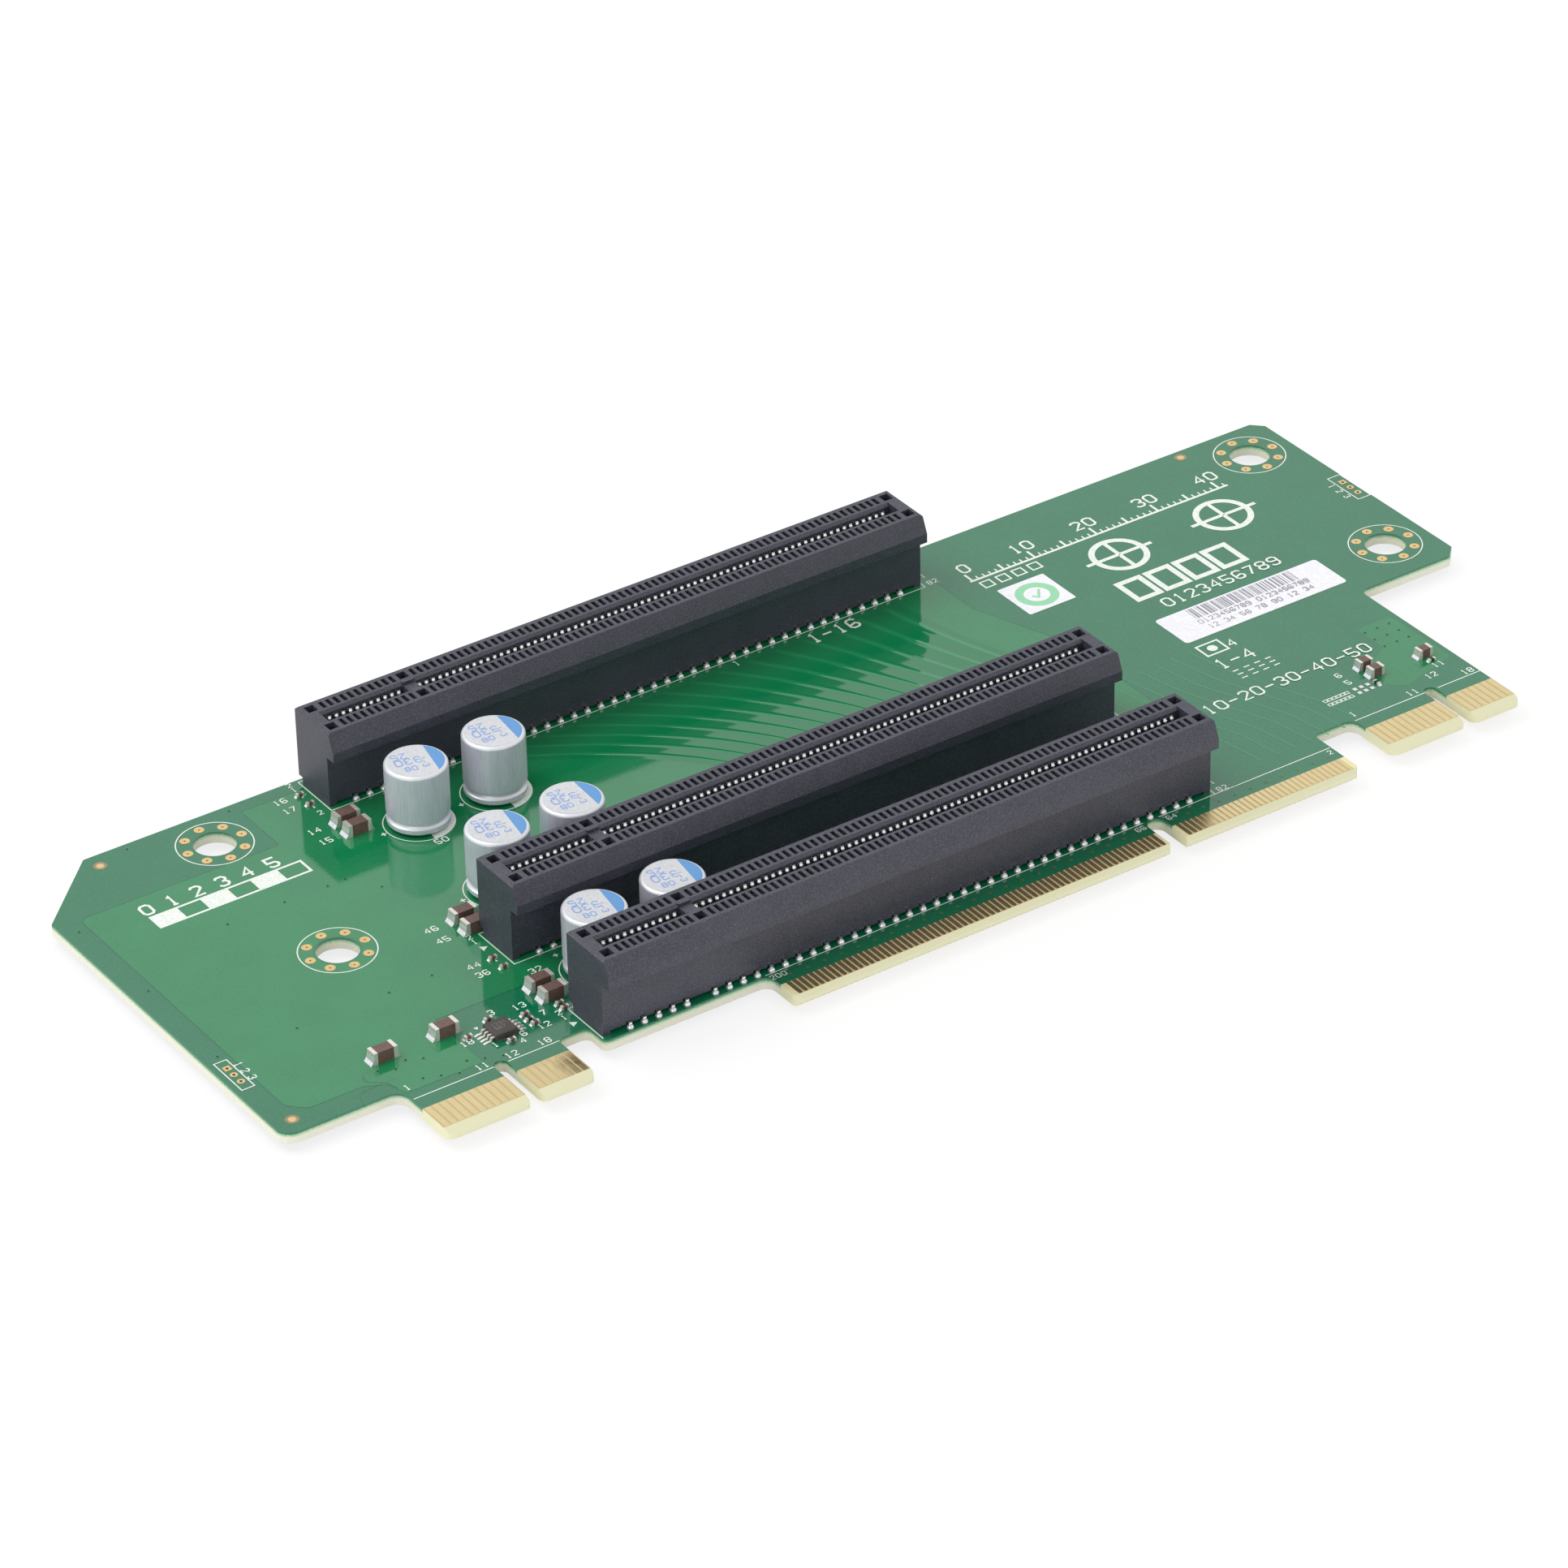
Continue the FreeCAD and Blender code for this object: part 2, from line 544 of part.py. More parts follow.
for i in range(len(CAN_XY)):
    x, y = CAN_XY[i]
    save("capacitor_" + str(i + 1) + "_can", moved(can, x, y, BOARD_T))
    bung = moved(seal, x, y, BOARD_T)
    for side in (-1, 1):
        lead_y = y + side * LEAD_PITCH / 2
        lead = Part.makeCylinder(LEAD_R, SEAL_LIFT + BOARD_T + LEAD_OUT + 0.5,
                                 V(x, lead_y, -LEAD_OUT))
        bung = bung.cut(lead)
        leads.append(lead)
        cone = Part.makeCone(LEAD_R + 0.1, LEAD_R + 0.4, SOLDER_H, V(x, lead_y, -SOLDER_H))
        lead_joints.append(cone.cut(lead))
    seals.append(bung)
save("capacitor_seals", group(seals))
save("capacitor_leads", group(leads))
save("capacitor_solder_joints", group(lead_joints))


# Chip parts lie along X on the board
def chip(size):
    length, width, height, cap, reach = size
    body = box(-length / 2 + cap, length / 2 - cap, -width / 2 + CAP_WRAP,
               width / 2 - CAP_WRAP, 0.0, height - CAP_WRAP)
    caps = []
    fillets = []
    for side in (-1, 1):
        x = side * length / 2
        low, high = min(x, x - side * cap), max(x, x - side * cap)
        caps.append(box(low, high, -width / 2, width / 2, 0.0, height))
        ring = [V(x, -width / 2, 0), V(x + side * reach, -width / 2, 0),
                V(x + side * reach * 0.35, -width / 2, height * 0.28),
                V(x, -width / 2, height * 0.7)]
        wedge = Part.Face(Part.makePolygon(ring + ring[:1]))
        fillets.append(wedge.extrude(V(0, width, 0)))
    return body, caps, fillets


end_caps = []
chip_solder = []


def place_chips(size, places, turned=False):
    body, caps, fillets = chip(size)
    if turned:
        for s in [body] + caps + fillets:
            s.rotate(V(0, 0, 0), V(0, 0, 1), 90)
    bodies = [moved(body, x, y, BOARD_T) for x, y in places]
    for x, y in places:
        end_caps.extend(moved(s, x, y, BOARD_T) for s in caps)
        chip_solder.extend(moved(s, x, y, BOARD_T) for s in fillets)
    return bodies


save("large_chip_bodies", group(place_chips(LARGE_CHIP, LARGE_CHIP_XY)))
save("medium_chip_bodies", group(place_chips(MEDIUM_CHIP, MEDIUM_CHIP_XY)))
save("small_chip_bodies", group(place_chips(SMALL_CHIP, SMALL_CHIP_XY)))
flat_chip = SMALL_CHIP[:2] + (RESISTOR_H,) + SMALL_CHIP[3:]
resistors = place_chips(flat_chip, RESISTOR_XY)
resistors += place_chips(flat_chip, (UPRIGHT_RESISTOR_XY,), True)
save("chip_resistor_bodies", group(resistors))
save("chip_end_caps", group(end_caps))
save("chip_solder_joints", group(chip_solder))

# Eight-lead chip: moulded body and gull-wing leads on its left and right sides
ic_x, ic_y = IC_XY
ic = box(-IC_SIDE / 2, IC_SIDE / 2, -IC_SIDE / 2, IC_SIDE / 2, IC_LIFT, IC_LIFT + IC_H)
ic_top = [e for e in ic.Edges if e.BoundBox.ZMin > IC_LIFT + IC_H - 0.01]
ic = ic.makeChamfer(IC_EDGE, ic_top)
save("ic_body", moved(ic, ic_x, ic_y, BOARD_T))
half_t = IC_LEAD_T / 2
knee = IC_SPAN / 2 - IC_LEAD_FOOT
lead_path = [(IC_SIDE / 2, IC_LEAD_RISE), (knee - 0.05, IC_LEAD_RISE),
             (knee + 0.1, half_t), (IC_SPAN / 2, half_t)]
ring = [V(a, -IC_LEAD_W / 2, b) for a, b in strip_outline(lead_path, IC_LEAD_T)]
wing = Part.Face(Part.makePolygon(ring + ring[:1])).extrude(V(0, IC_LEAD_W, 0))
other = wing.mirror(V(0, 0, 0), V(1, 0, 0))
ic_leads = []
for i in range(4):
    for s in (wing, other):
        ic_leads.append(moved(s, ic_x, ic_y + (i - 1.5) * IC_LEAD_PITCH, BOARD_T))
save("ic_leads", group(ic_leads))


# Labels lie flat on the board
def label(width, depth, radius, place):
    w, d = width / 2, depth / 2
    face = rounded_face([(-w, -d, radius), (w, -d, radius), (w, d, radius), (-w, d, radius)])
    return moved(face.extrude(V(0, 0, LABEL_T)), place[0], place[1], BOARD_T)


save("serial_label", label(SERIAL_LABEL_W, SERIAL_LABEL_D, SERIAL_LABEL_R, SERIAL_LABEL_XY))
save("inspection_sticker", label(STICKER_SIDE, STICKER_SIDE, STICKER_R, STICKER_XY))
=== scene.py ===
import functools
import json
import math

import bpy
import numpy as np
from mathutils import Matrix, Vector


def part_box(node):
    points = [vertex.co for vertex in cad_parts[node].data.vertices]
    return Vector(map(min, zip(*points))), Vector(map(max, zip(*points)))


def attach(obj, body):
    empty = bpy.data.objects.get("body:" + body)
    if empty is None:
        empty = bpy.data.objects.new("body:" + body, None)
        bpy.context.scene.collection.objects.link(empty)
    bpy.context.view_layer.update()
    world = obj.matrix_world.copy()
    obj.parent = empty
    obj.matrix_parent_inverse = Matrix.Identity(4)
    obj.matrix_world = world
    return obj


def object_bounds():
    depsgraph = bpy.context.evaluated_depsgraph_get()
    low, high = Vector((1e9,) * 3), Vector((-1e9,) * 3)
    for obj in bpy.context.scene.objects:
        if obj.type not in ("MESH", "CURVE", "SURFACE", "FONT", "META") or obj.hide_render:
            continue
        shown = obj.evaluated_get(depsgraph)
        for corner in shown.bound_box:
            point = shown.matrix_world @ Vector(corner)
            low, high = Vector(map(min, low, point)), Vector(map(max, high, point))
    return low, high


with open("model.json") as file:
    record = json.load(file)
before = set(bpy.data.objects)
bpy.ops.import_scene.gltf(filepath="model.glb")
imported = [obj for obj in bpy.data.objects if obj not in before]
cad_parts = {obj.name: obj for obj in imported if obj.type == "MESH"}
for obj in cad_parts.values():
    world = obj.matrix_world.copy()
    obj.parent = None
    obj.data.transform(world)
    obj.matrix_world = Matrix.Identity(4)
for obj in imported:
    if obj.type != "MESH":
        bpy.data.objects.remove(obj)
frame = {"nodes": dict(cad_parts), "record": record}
cad_box = [list(corner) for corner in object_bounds()]
nodes = frame["nodes"]

MM = 0.001
BOARD_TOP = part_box("circuit_board")[1][2] / MM
FLOOR_Z = cad_box[0][2]

# Prints are placed from contact 1 of the far socket, in millimetres
CONTACT_1 = np.array([-60.95, 16.2])
SOCKET_Y = (0.0, -41.45, -60.96)
SOCKET_LEFT, SOCKET_RIGHT, SOCKET_HALF = -3.25, 86.2, 3.95
HOLES = [(x, y) for x in (-18.65, 140.55) for y in (-1.9, -30.5)]
TARGETS = ((-32.4, 2.1), (-41.0, -57.0), (132.8, 3.0))
# Rounds on and about a can: printed circle, printed crescent from outer to inner, lacquer; and each can's turn
CAN_CIRCLE, CAN_CRESCENT, CAN_LACQUER = 4.45, (4.42, 3.3), 3.56
CAN_TILT = (-12.0, -6.0, -10.0, -3.0, -9.0, -8.0)
# Ring of small vias round a mounting hole: its radius, its pads' and its barrels'
VIA_RING, RING_PAD, RING_HOLE = 3.79, 0.66, 0.14
# Place of a far spring's crest from its contact, and its height over the board's top
CREST_PLACE = (-0.1, 0.66, 9.84)
# Height of each flat print over the face it lies on, in millimetres, so that no two that cross share a plane
LIFTS = {"copper_pour": 0.006, "trace_fan": 0.009, "side_traces": 0.009, "copper_gaps": 0.012,
         "fiducial_clearings": 0.018, "via_lands": 0.020, "white_print": 0.022, "gold_pads": 0.026,
         "via_hole_shades": 0.032, "ring_barrels": 0.032, "tinned_pads": 0.04, "small_chip_marking": 0.004,
         "can_top_lacquer": 0.012, "can_top_numbers": 0.022, "label_print": 0.006, "sticker_print": 0.006}
LINE = 0.15

# The trace fan under the mask: spacing, half width and height of a ridge and the slope between ridges, in millimetres
TRACE_PITCH, TRACE_HALF, TRACE_RISE, TRACE_SLOPE = 2.15, 0.24, 0.05, 0.055
# How far down the board the fan starts, turns twice and ends
FAN_START, FAN_FIRST, FAN_SECOND, FAN_END = 5.4, 10.4, 19.3, 26.0

# Where the board is bare, in metres: middle and half width of each tab, the line below which it is bare, its finger
# row, and on the long tab the fingers from end to end and the gap between their two groups
SHORT_TABS, LONG_TAB = ((-0.0787, 0.01006), (0.05955, 0.01006)), (0.00105, 0.04235)
SHORT_BARE, LONG_BARE = -0.04785, -0.05135
SHORT_ROW, LONG_ROW = (-0.05012, 0.00228), (-0.05278, 0.00142)
LONG_FINGERS, LONG_GAP = (0.00105, 0.0415), (0.0154, 0.00175)
SCUFF = (-0.0696, -0.0503, 0.0015)
# On the routed edge the mask fades from bare to full over the first span of heights, and its stain over the second
MASK_BORDER, MASK_STAIN = (0.00112, 0.00136), (0.0008, 0.00115)
# How far a face is turned up, 0 for an upright one and 1 for a level one: it counts as level above LEVEL, as a wall
# below WALL, and as a bevel within the half width of BEVEL's middle
LEVEL, WALL, BEVEL = 0.985, 0.2, (0.6, 0.38)
MASK_IOR = 1.72
# A can top's UV is its place in millimetres over TOP_SIZE, with TOP_SHIFT added across; past BLUE_EDGE it is blue
TOP_SIZE, TOP_SHIFT, BLUE_EDGE = 4.0, 0.25, 0.74


# Camera: a long lens far off, level with the photograph's view
camera_data = bpy.data.cameras.new("camera")
camera_data.sensor_width = 36.0
camera_data.lens = 158.074
camera_data.clip_start, camera_data.clip_end = 0.05, 20.0
camera = bpy.data.objects.new("camera", camera_data)
bpy.context.scene.collection.objects.link(camera)
camera.location = (-0.414058, -0.606895, 0.458957)
camera.rotation_mode = "QUATERNION"
camera.rotation_quaternion = (0.836445, 0.460165, -0.134965, -0.265315)
bpy.context.scene.camera = camera


def linear(hexa):
    """sRGB hex to linear: each channel c becomes c/12.92 below 0.04045, else ((c+0.055)/1.055)^2.4."""
    c = np.array([int(hexa[i:i + 2], 16) for i in (1, 3, 5)]) / 255.0
    c = np.where(c <= 0.04045, c / 12.92, ((c + 0.055) / 1.055) ** 2.4)
    return (*c.tolist(), 1.0)


def fill(made, links):
    """Fills a node's inputs, by name or in order, with a value, a hex colour or another node's output."""
    for key, value in links.items() if isinstance(links, dict) else enumerate(links):
        if isinstance(value, bpy.types.NodeSocket):
            made.id_data.links.new(value, made.inputs[key])
        else:
            made.inputs[key].default_value = linear(value) if isinstance(value, str) else value


def add(tree, kind, links=(), out=0, **settings):
    """Adds one node, with settings as its properties and links in its inputs, and gives its output out."""
    made = tree.nodes.new("ShaderNode" + kind)
    for key, value in settings.items():
        setattr(made, key, value)
    fill(made, links)
    return made.outputs[out]


def material(name, colour, roughness, metallic=0.0, ior=1.5):
    """A plain finish, to which the caller adds its pattern: the material, what adds a node to it, its shader and the
    place on the object."""
    made = bpy.data.materials.new(name)
    made.use_nodes = True
    shader = made.node_tree.nodes["Principled BSDF"]
    fill(shader, {"Base Color": colour, "Roughness": roughness, "Metallic": metallic, "IOR": ior})
    node = functools.partial(add, made.node_tree)
    return made, node, shader, node("TexCoord", out="Object")


def finished(made, node, shader, tint, gloss, height, depth_mm):
    """Joins a finish's colour, its roughness and a relief of depth_mm, for a height that runs 0..1, to its shader."""
    bump = node("Bump", {"Height": height, "Distance": depth_mm * MM, "Strength": 1.0})
    fill(shader, {"Base Color": tint, "Roughness": gloss, "Normal": bump})
    return made


def per(size_mm):
    """Scale of a noise whose blobs are size_mm across."""
    return 1.0 / (size_mm * MM)


def mottled(node, noise, low, high, first, second, most=1.0):
    """Colour that runs from first towards second, up to a share of most, while the noise runs from low to high."""
    share = node("MapRange", (noise, low, high, 0.0, most))
    return node("Mix", {0: share, 6: first, 7: second}, 2, data_type="RGBA")


def within(node, value, centre, half):
    """1 where value lies within half of centre, else 0."""
    away = node("Math", (value, centre), operation="SUBTRACT")
    away = node("Math", (away,), operation="ABSOLUTE")
    return node("Math", (away, half), operation="LESS_THAN")


def speckled(name, colour, other, roughness, size_mm, depth_mm, metallic=0.0):
    """Two close colours mixed by noise, with the same noise as fine relief and a little roughness change."""
    made, node, shader, place = material(name, colour, roughness, metallic)
    noise = node("TexNoise", {"Vector": place, "Scale": per(size_mm), "Detail": 2.0}, "Fac")
    tint = mottled(node, noise, 0.35, 0.65, colour, other)
    gloss = node("MapRange", (noise, 0.3, 0.7, roughness * 0.9, min(1.0, roughness * 1.12)))
    return finished(made, node, shader, tint, gloss, noise, depth_mm)


def bare_laminate(node, place, mask):
    """Colour and roughness of the whole board from its mask's colour: bare woven glass laminate shows on the edges,
    the bevels and between the edge fingers; the mask runs over the upper part of the routed edge and thins out
    there."""
    x, y, z = node("SeparateXYZ", (place,)).node.outputs
    turned = node("SeparateXYZ", (node("TexCoord", out="Normal"),), "Z")
    level = node("Math", (turned,), operation="ABSOLUTE")
    flat = node("Math", (level, LEVEL), operation="GREATER_THAN")
    upright = node("Math", (level, WALL), operation="LESS_THAN")
    short = node("Math", [within(node, x, *tab) for tab in SHORT_TABS], operation="MAXIMUM")
    long = within(node, x, *LONG_TAB)
    bare, rows = [], []
    for tab, line_y, row in ((short, SHORT_BARE, SHORT_ROW), (long, LONG_BARE, LONG_ROW)):
        below = node("Math", (y, line_y), operation="LESS_THAN")
        bare.append(node("Math", (tab, below), operation="MULTIPLY"))
        rows.append(node("Math", (tab, within(node, y, *row)), operation="MULTIPLY"))
    bare = node("Math", bare, operation="MAXIMUM")
    masked = node("Math", (1.0, bare), operation="SUBTRACT")
    between = node("Math", (flat, node("Math", rows, operation="MAXIMUM")), operation="MULTIPLY")
    # In the long row the ends and the gap between the groups are paler than between the fingers, where the darker tan
    # is painted shade in the narrow gaps
    ends = node("Math", (1.0, within(node, x, *LONG_FINGERS)), operation="SUBTRACT")
    margin = node("Math", (within(node, x, *LONG_GAP), ends), operation="MAXIMUM")
    margin = node("Math", (margin, long), operation="MULTIPLY")
    row_tint_with_gap_shade = node("Mix", {0: margin, 6: "#c2ab7a", 7: "#e4d9a6"}, 2, data_type="RGBA")
    # The mask's lower border on the edge is ragged with the weave, and stains the glass below it
    weave = node("TexNoise", {"Vector": place, "Scale": per(0.3), "Detail": 4.0}, "Fac")
    ragged = node("Math", (z, node("MapRange", (weave, 0.3, 0.7, -0.00006, 0.00006))), operation="ADD")
    stain = node("Math", (masked, node("MapRange", (ragged, *MASK_STAIN))), operation="MULTIPLY")
    wrapped = node("Math", (flat, node("MapRange", (ragged, *MASK_BORDER))), operation="MAXIMUM")
    cover = node("Math", (masked, wrapped), operation="MULTIPLY")
    wall = node("Math", (bare, upright), operation="MULTIPLY")
    # Glass first, then each colour over it where it shows
    tint = mottled(node, weave, 0.3, 0.7, "#e9e6d6", "#dfdcca")
    for where, paint in ((within(node, level, *BEVEL), "#d8d6b1"), (wall, "#e2e0bc"), (between, row_tint_with_gap_shade),
                         (stain, "#9bcb9c"), (cover, mask)):
        tint = node("Mix", {0: where, 6: tint, 7: paint}, 2, data_type="RGBA")
    return tint, node("MapRange", (cover, 0.0, 1.0, 0.7, 0.07))


def solder_mask(name, colour, other, edges=False):
    """Liquid photo-imaged solder mask, sprayed and cured: glossy, with a faint orange peel and fine mottling."""
    made, node, shader, place = material(name, colour, 0.06, 0.0, MASK_IOR)
    cloud = node("TexNoise", {"Vector": place, "Scale": per(6.0), "Detail": 3.0}, "Fac")
    fine = node("TexNoise", {"Vector": place, "Scale": per(0.3), "Detail": 3.0}, "Fac")
    tint = mottled(node, cloud, 0.35, 0.65, colour, other)
    tint = mottled(node, fine, 0.4, 0.75, tint, "#2c9464", 0.22)
    gloss = node("MapRange", (fine, 0.3, 0.7, 0.05, 0.09))
    if edges:
        tint, gloss = bare_laminate(node, place, tint)
    return finished(made, node, shader, tint, gloss, fine, 0.003)


def mask_over_traces():
    """Mask over the fan of traces: UV holds the trace number across and the way along, 0 to 1. Each trace lifts the
    mask into a rounded ridge, exp(-(d / TRACE_HALF)^2), and between ridges the mask sinks by a small straight slope."""
    made, node, shader, _ = material("solder_mask_over_traces", "#0e7446", 0.06, 0.0, MASK_IOR)
    across, along, _ = node("SeparateXYZ", (node("TexCoord", out="UV"),)).node.outputs
    part = node("Math", (across,), operation="FRACT")
    away = node("Math", (node("Math", (part, 0.5), operation="SUBTRACT"),), operation="ABSOLUTE")
    near = node("Math", (0.5, away), operation="SUBTRACT")
    near = node("Math", (near, TRACE_PITCH / TRACE_HALF), operation="MULTIPLY")
    square = node("Math", (near, near), operation="MULTIPLY")
    ridge = node("Math", (node("Math", (square, -1.0), operation="MULTIPLY"),), operation="EXPONENT")
    lifted = node("Math", (ridge, TRACE_RISE), operation="MULTIPLY")
    sloped = node("Math", (part, TRACE_SLOPE), operation="MULTIPLY")
    height = node("Math", (lifted, sloped), operation="ADD")
    height = node("Math", (height, node("MapRange", (along, 0.08, 0.45))), operation="MULTIPLY")
    tint = node("Mix", {0: ridge, 6: "#0e7446", 7: "#1b8450"}, 2, data_type="RGBA")
    return finished(made, node, shader, tint, 0.06, height, 1.0)


def moulded_socket():
    """Black glass-filled LCP, injection moulded: satin, with pale fibre specks and faint flow clouds."""
    made, node, shader, place = material("moulded_black_lcp", "#2b2c38", 0.46, 0.0, 1.62)
    cloud = node("TexNoise", {"Vector": place, "Scale": per(3.0), "Detail": 3.0}, "Fac")
    fine = node("TexNoise", {"Vector": place, "Scale": per(0.2), "Detail": 3.0}, "Fac")
    fibre = node("TexNoise", {"Vector": place, "Scale": per(0.5), "Detail": 2.0}, "Fac")
    tint = mottled(node, cloud, 0.35, 0.7, "#262731", "#2f303c")
    tint = mottled(node, fine, 0.42, 0.72, tint, "#4a4b5c")
    specks = node("Math", (node("Math", (fibre, 0.77), operation="GREATER_THAN"), 0.5), operation="MULTIPLY")
    tint = node("Mix", {0: specks, 6: tint, 7: "#8c8d94"}, 2, data_type="RGBA")
    return finished(made, node, shader, tint, node("MapRange", (fine, 0.3, 0.7, 0.42, 0.56)), fine, 0.01)


def finger_gold():
    """Hard gold plated on copper: smooth, pale yellow, with fine lengthwise wear lines and one dark scuff."""
    made, node, shader, place = material("hard_gold_plating", "#e8c98c", 0.28, 1.0)
    stretched = node("Mapping", {"Vector": place, "Scale": (1.0, 0.08, 1.0)})
    lines = node("TexNoise", {"Vector": stretched, "Scale": per(0.12), "Detail": 3.0}, "Fac")
    tint = mottled(node, lines, 0.35, 0.7, "#e2d2a2", "#dac898")
    away = node("VectorMath", (place, SCUFF), "Value", operation="DISTANCE")
    patches = node("TexNoise", {"Vector": place, "Scale": per(0.7), "Detail": 3.0}, "Fac")
    smear = node("Math", (node("MapRange", (away, 0.0003, 0.0026, 0.8, 0.0)),
                          node("MapRange", (patches, 0.25, 0.65, 0.35, 1.0))), operation="MULTIPLY")
    tint = node("Mix", {0: smear, 6: tint, 7: "#5d4a2c"}, 2, data_type="RGBA")
    return finished(made, node, shader, tint, node("MapRange", (lines, 0.3, 0.7, 0.26, 0.36)), lines, 0.001)


def drawn_can():
    """Deep-drawn aluminium with a clear lacquer: upright drawing lines; the faces that turn up, the rims and bead, take
    an even grey of their own as a painted highlight.
    """
    made, node, shader, place = material("drawn_aluminium", "#dde4e6", 0.34, 0.5)
    upright = node("Mapping", {"Vector": place, "Scale": (1.0, 1.0, 0.05)})
    lines = node("TexNoise", {"Vector": upright, "Scale": per(0.12), "Detail": 3.0}, "Fac")
    fine = node("TexNoise", {"Vector": place, "Scale": per(0.15), "Detail": 2.0}, "Fac")
    tint = mottled(node, lines, 0.3, 0.7, "#e4e2ee", "#cfcfde")
    # Painted highlight: the colour follows how far a face turns up, so rims and bead differ from the wall
    turned = node("SeparateXYZ", (node("TexCoord", out="Normal"),), "Z")
    tint = mottled(node, node("Math", (turned,), operation="ABSOLUTE"), 0.05, 0.35, tint, "#dadde1")
    return finished(made, node, shader, tint, node("MapRange", (fine, 0.3, 0.7, 0.34, 0.44)), fine, 0.004)


def can_lacquer():
    """Pale lacquer on the can's top with a printed blue side: satin and even. UV runs across and along the top."""
    made, node, shader, place = material("printed_lacquer", "#dfe0e2", 0.34)
    across = node("SeparateXYZ", (node("TexCoord", out="UV"),), "X")
    blue = node("Math", (across, BLUE_EDGE), operation="GREATER_THAN")
    fine = node("TexNoise", {"Vector": place, "Scale": per(0.3), "Detail": 3.0}, "Fac")
    pale = mottled(node, fine, 0.35, 0.65, "#d0d1d4", "#c4c5c9")
    tint = node("Mix", {0: blue, 6: pale, 7: "#5992cb"}, 2, data_type="RGBA")
    return finished(made, node, shader, tint, node("MapRange", (fine, 0.3, 0.7, 0.3, 0.4)), fine, 0.003)


MASK = solder_mask("solder_mask_on_laminate", "#086845", "#0a6c48", edges=True)
MASK_COPPER = solder_mask("solder_mask_over_copper", "#0f7646", "#147b49")
MASK_FAN = mask_over_traces()
MASK_TRACE = solder_mask("solder_mask_over_trace", "#1b8450", "#187f4c")
MASK_GAP = solder_mask("solder_mask_over_gap", "#07583a", "#085c3c")
LCP = moulded_socket()
GOLD = finger_gold()
CAN = drawn_can()
LACQUER = can_lacquer()
# Screen-printed epoxy ink: matt white, slightly uneven in thickness
INK = speckled("white_epoxy_ink", "#eef1ec", "#d9e2d8", 0.55, 0.3, 0.006)
# Immersion gold on pads: soft yellow, satin from the copper's etched grain
PAD = speckled("immersion_gold", "#eed09a", "#e2bf80", 0.3, 0.25, 0.004, metallic=1.0)
# Phosphor bronze springs, flash plated: bright and smooth
SPRING = speckled("plated_spring_bronze", "#f8f8f6", "#efeeea", 0.2, 0.3, 0.002, metallic=1.0)
# The springs' crests in a pure white finish: a painted glint that makes them the brightest spots in the sockets
CREST_GLINT = speckled("spring_crest_glint", "#ffffff", "#f6f6f4", 0.5, 0.3, 0.001, metallic=0.4)
# Tin solder, cooled from liquid: bright with soft dull patches
SOLDER = speckled("tin_solder", "#ececee", "#d8d9dc", 0.28, 0.4, 0.006, metallic=0.75)
# Matt tin on chip ends and leads
TIN = speckled("matt_tin", "#ebe7e1", "#dbd5cd", 0.36, 0.2, 0.006, metallic=0.6)
# Butyl rubber bung: dull black
BUTYL = speckled("butyl_rubber", "#131313", "#1d1d1d", 0.8, 0.4, 0.01)
# Fired barium titanate ceramic: brown, dense, matt
CERAMIC = speckled("fired_ceramic", "#5c443d", "#705851", 0.5, 0.2, 0.006)
# Resistive glass glaze: near black and glossy
GLAZE = speckled("resistor_glaze", "#161616", "#232323", 0.3, 0.2, 0.003)
# Epoxy moulding compound of the chip: dark grey, matt, from a sparked mould
MOULDING = speckled("epoxy_moulding", "#3a3534", "#4a4341", 0.5, 0.18, 0.008)
# Laser marking on the moulding: a paler burnt grey
MARKING = speckled("laser_marking", "#6d645d", "#7a7068", 0.7, 0.2, 0.001)
# Bare laminate round the alignment marks, seen under clear resin: grey-brown
CLEARING = speckled("bare_laminate", "#9a8a6c", "#85795e", 0.4, 0.2, 0.002)
# Coated paper labels: smooth white with faint fibre
LABEL = speckled("label_paper", "#f1f1f4", "#e7e7ec", 0.5, 0.5, 0.003)
# Thermal print: soft grey-violet
THERMAL = speckled("thermal_print", "#8b8b96", "#9c9ca6", 0.6, 0.2, 0.001)
# Offset ink on the sticker: pale green, flat
GREEN_INK = speckled("green_offset_ink", "#8ccfa1", "#9ad6ad", 0.5, 0.2, 0.001)
# Pad-printed ink on the can tops: pale blue, flat
BLUE_INK = speckled("blue_pad_ink", "#7f9fd6", "#8fabdc", 0.5, 0.2, 0.001)
# Drilled holes seen from above: dark discs painted as the shade inside them; at the vias in the rings and below the
# fingers, paler brown discs
HOLE_SHADE = speckled("via_hole_shade", "#241c12", "#30261a", 0.6, 0.1, 0.002)
RING_BARREL = speckled("pale_via_centre", "#7a5526", "#8a6431", 0.5, 0.1, 0.002)

by_slot = {"solder_mask_board": MASK, "socket_plastic": LCP, "contact_metal": SPRING, "gold_plate": GOLD,
           "solder": SOLDER, "can_aluminium": CAN, "seal_rubber": BUTYL, "tinned_metal": TIN,
           "chip_ceramic": CERAMIC, "resistor_film": GLAZE, "ic_resin": MOULDING,
           "label_paper": LABEL, "sticker_paper": LABEL}
slot_of = {part["node"]: part["material_slot"] for part in frame["record"]["subparts"]}
for name, shown in nodes.items():
    for entry in shown.material_slots:
        entry.material = by_slot[slot_of[name]]
    if not shown.material_slots:
        shown.data.materials.append(by_slot[slot_of[name]])


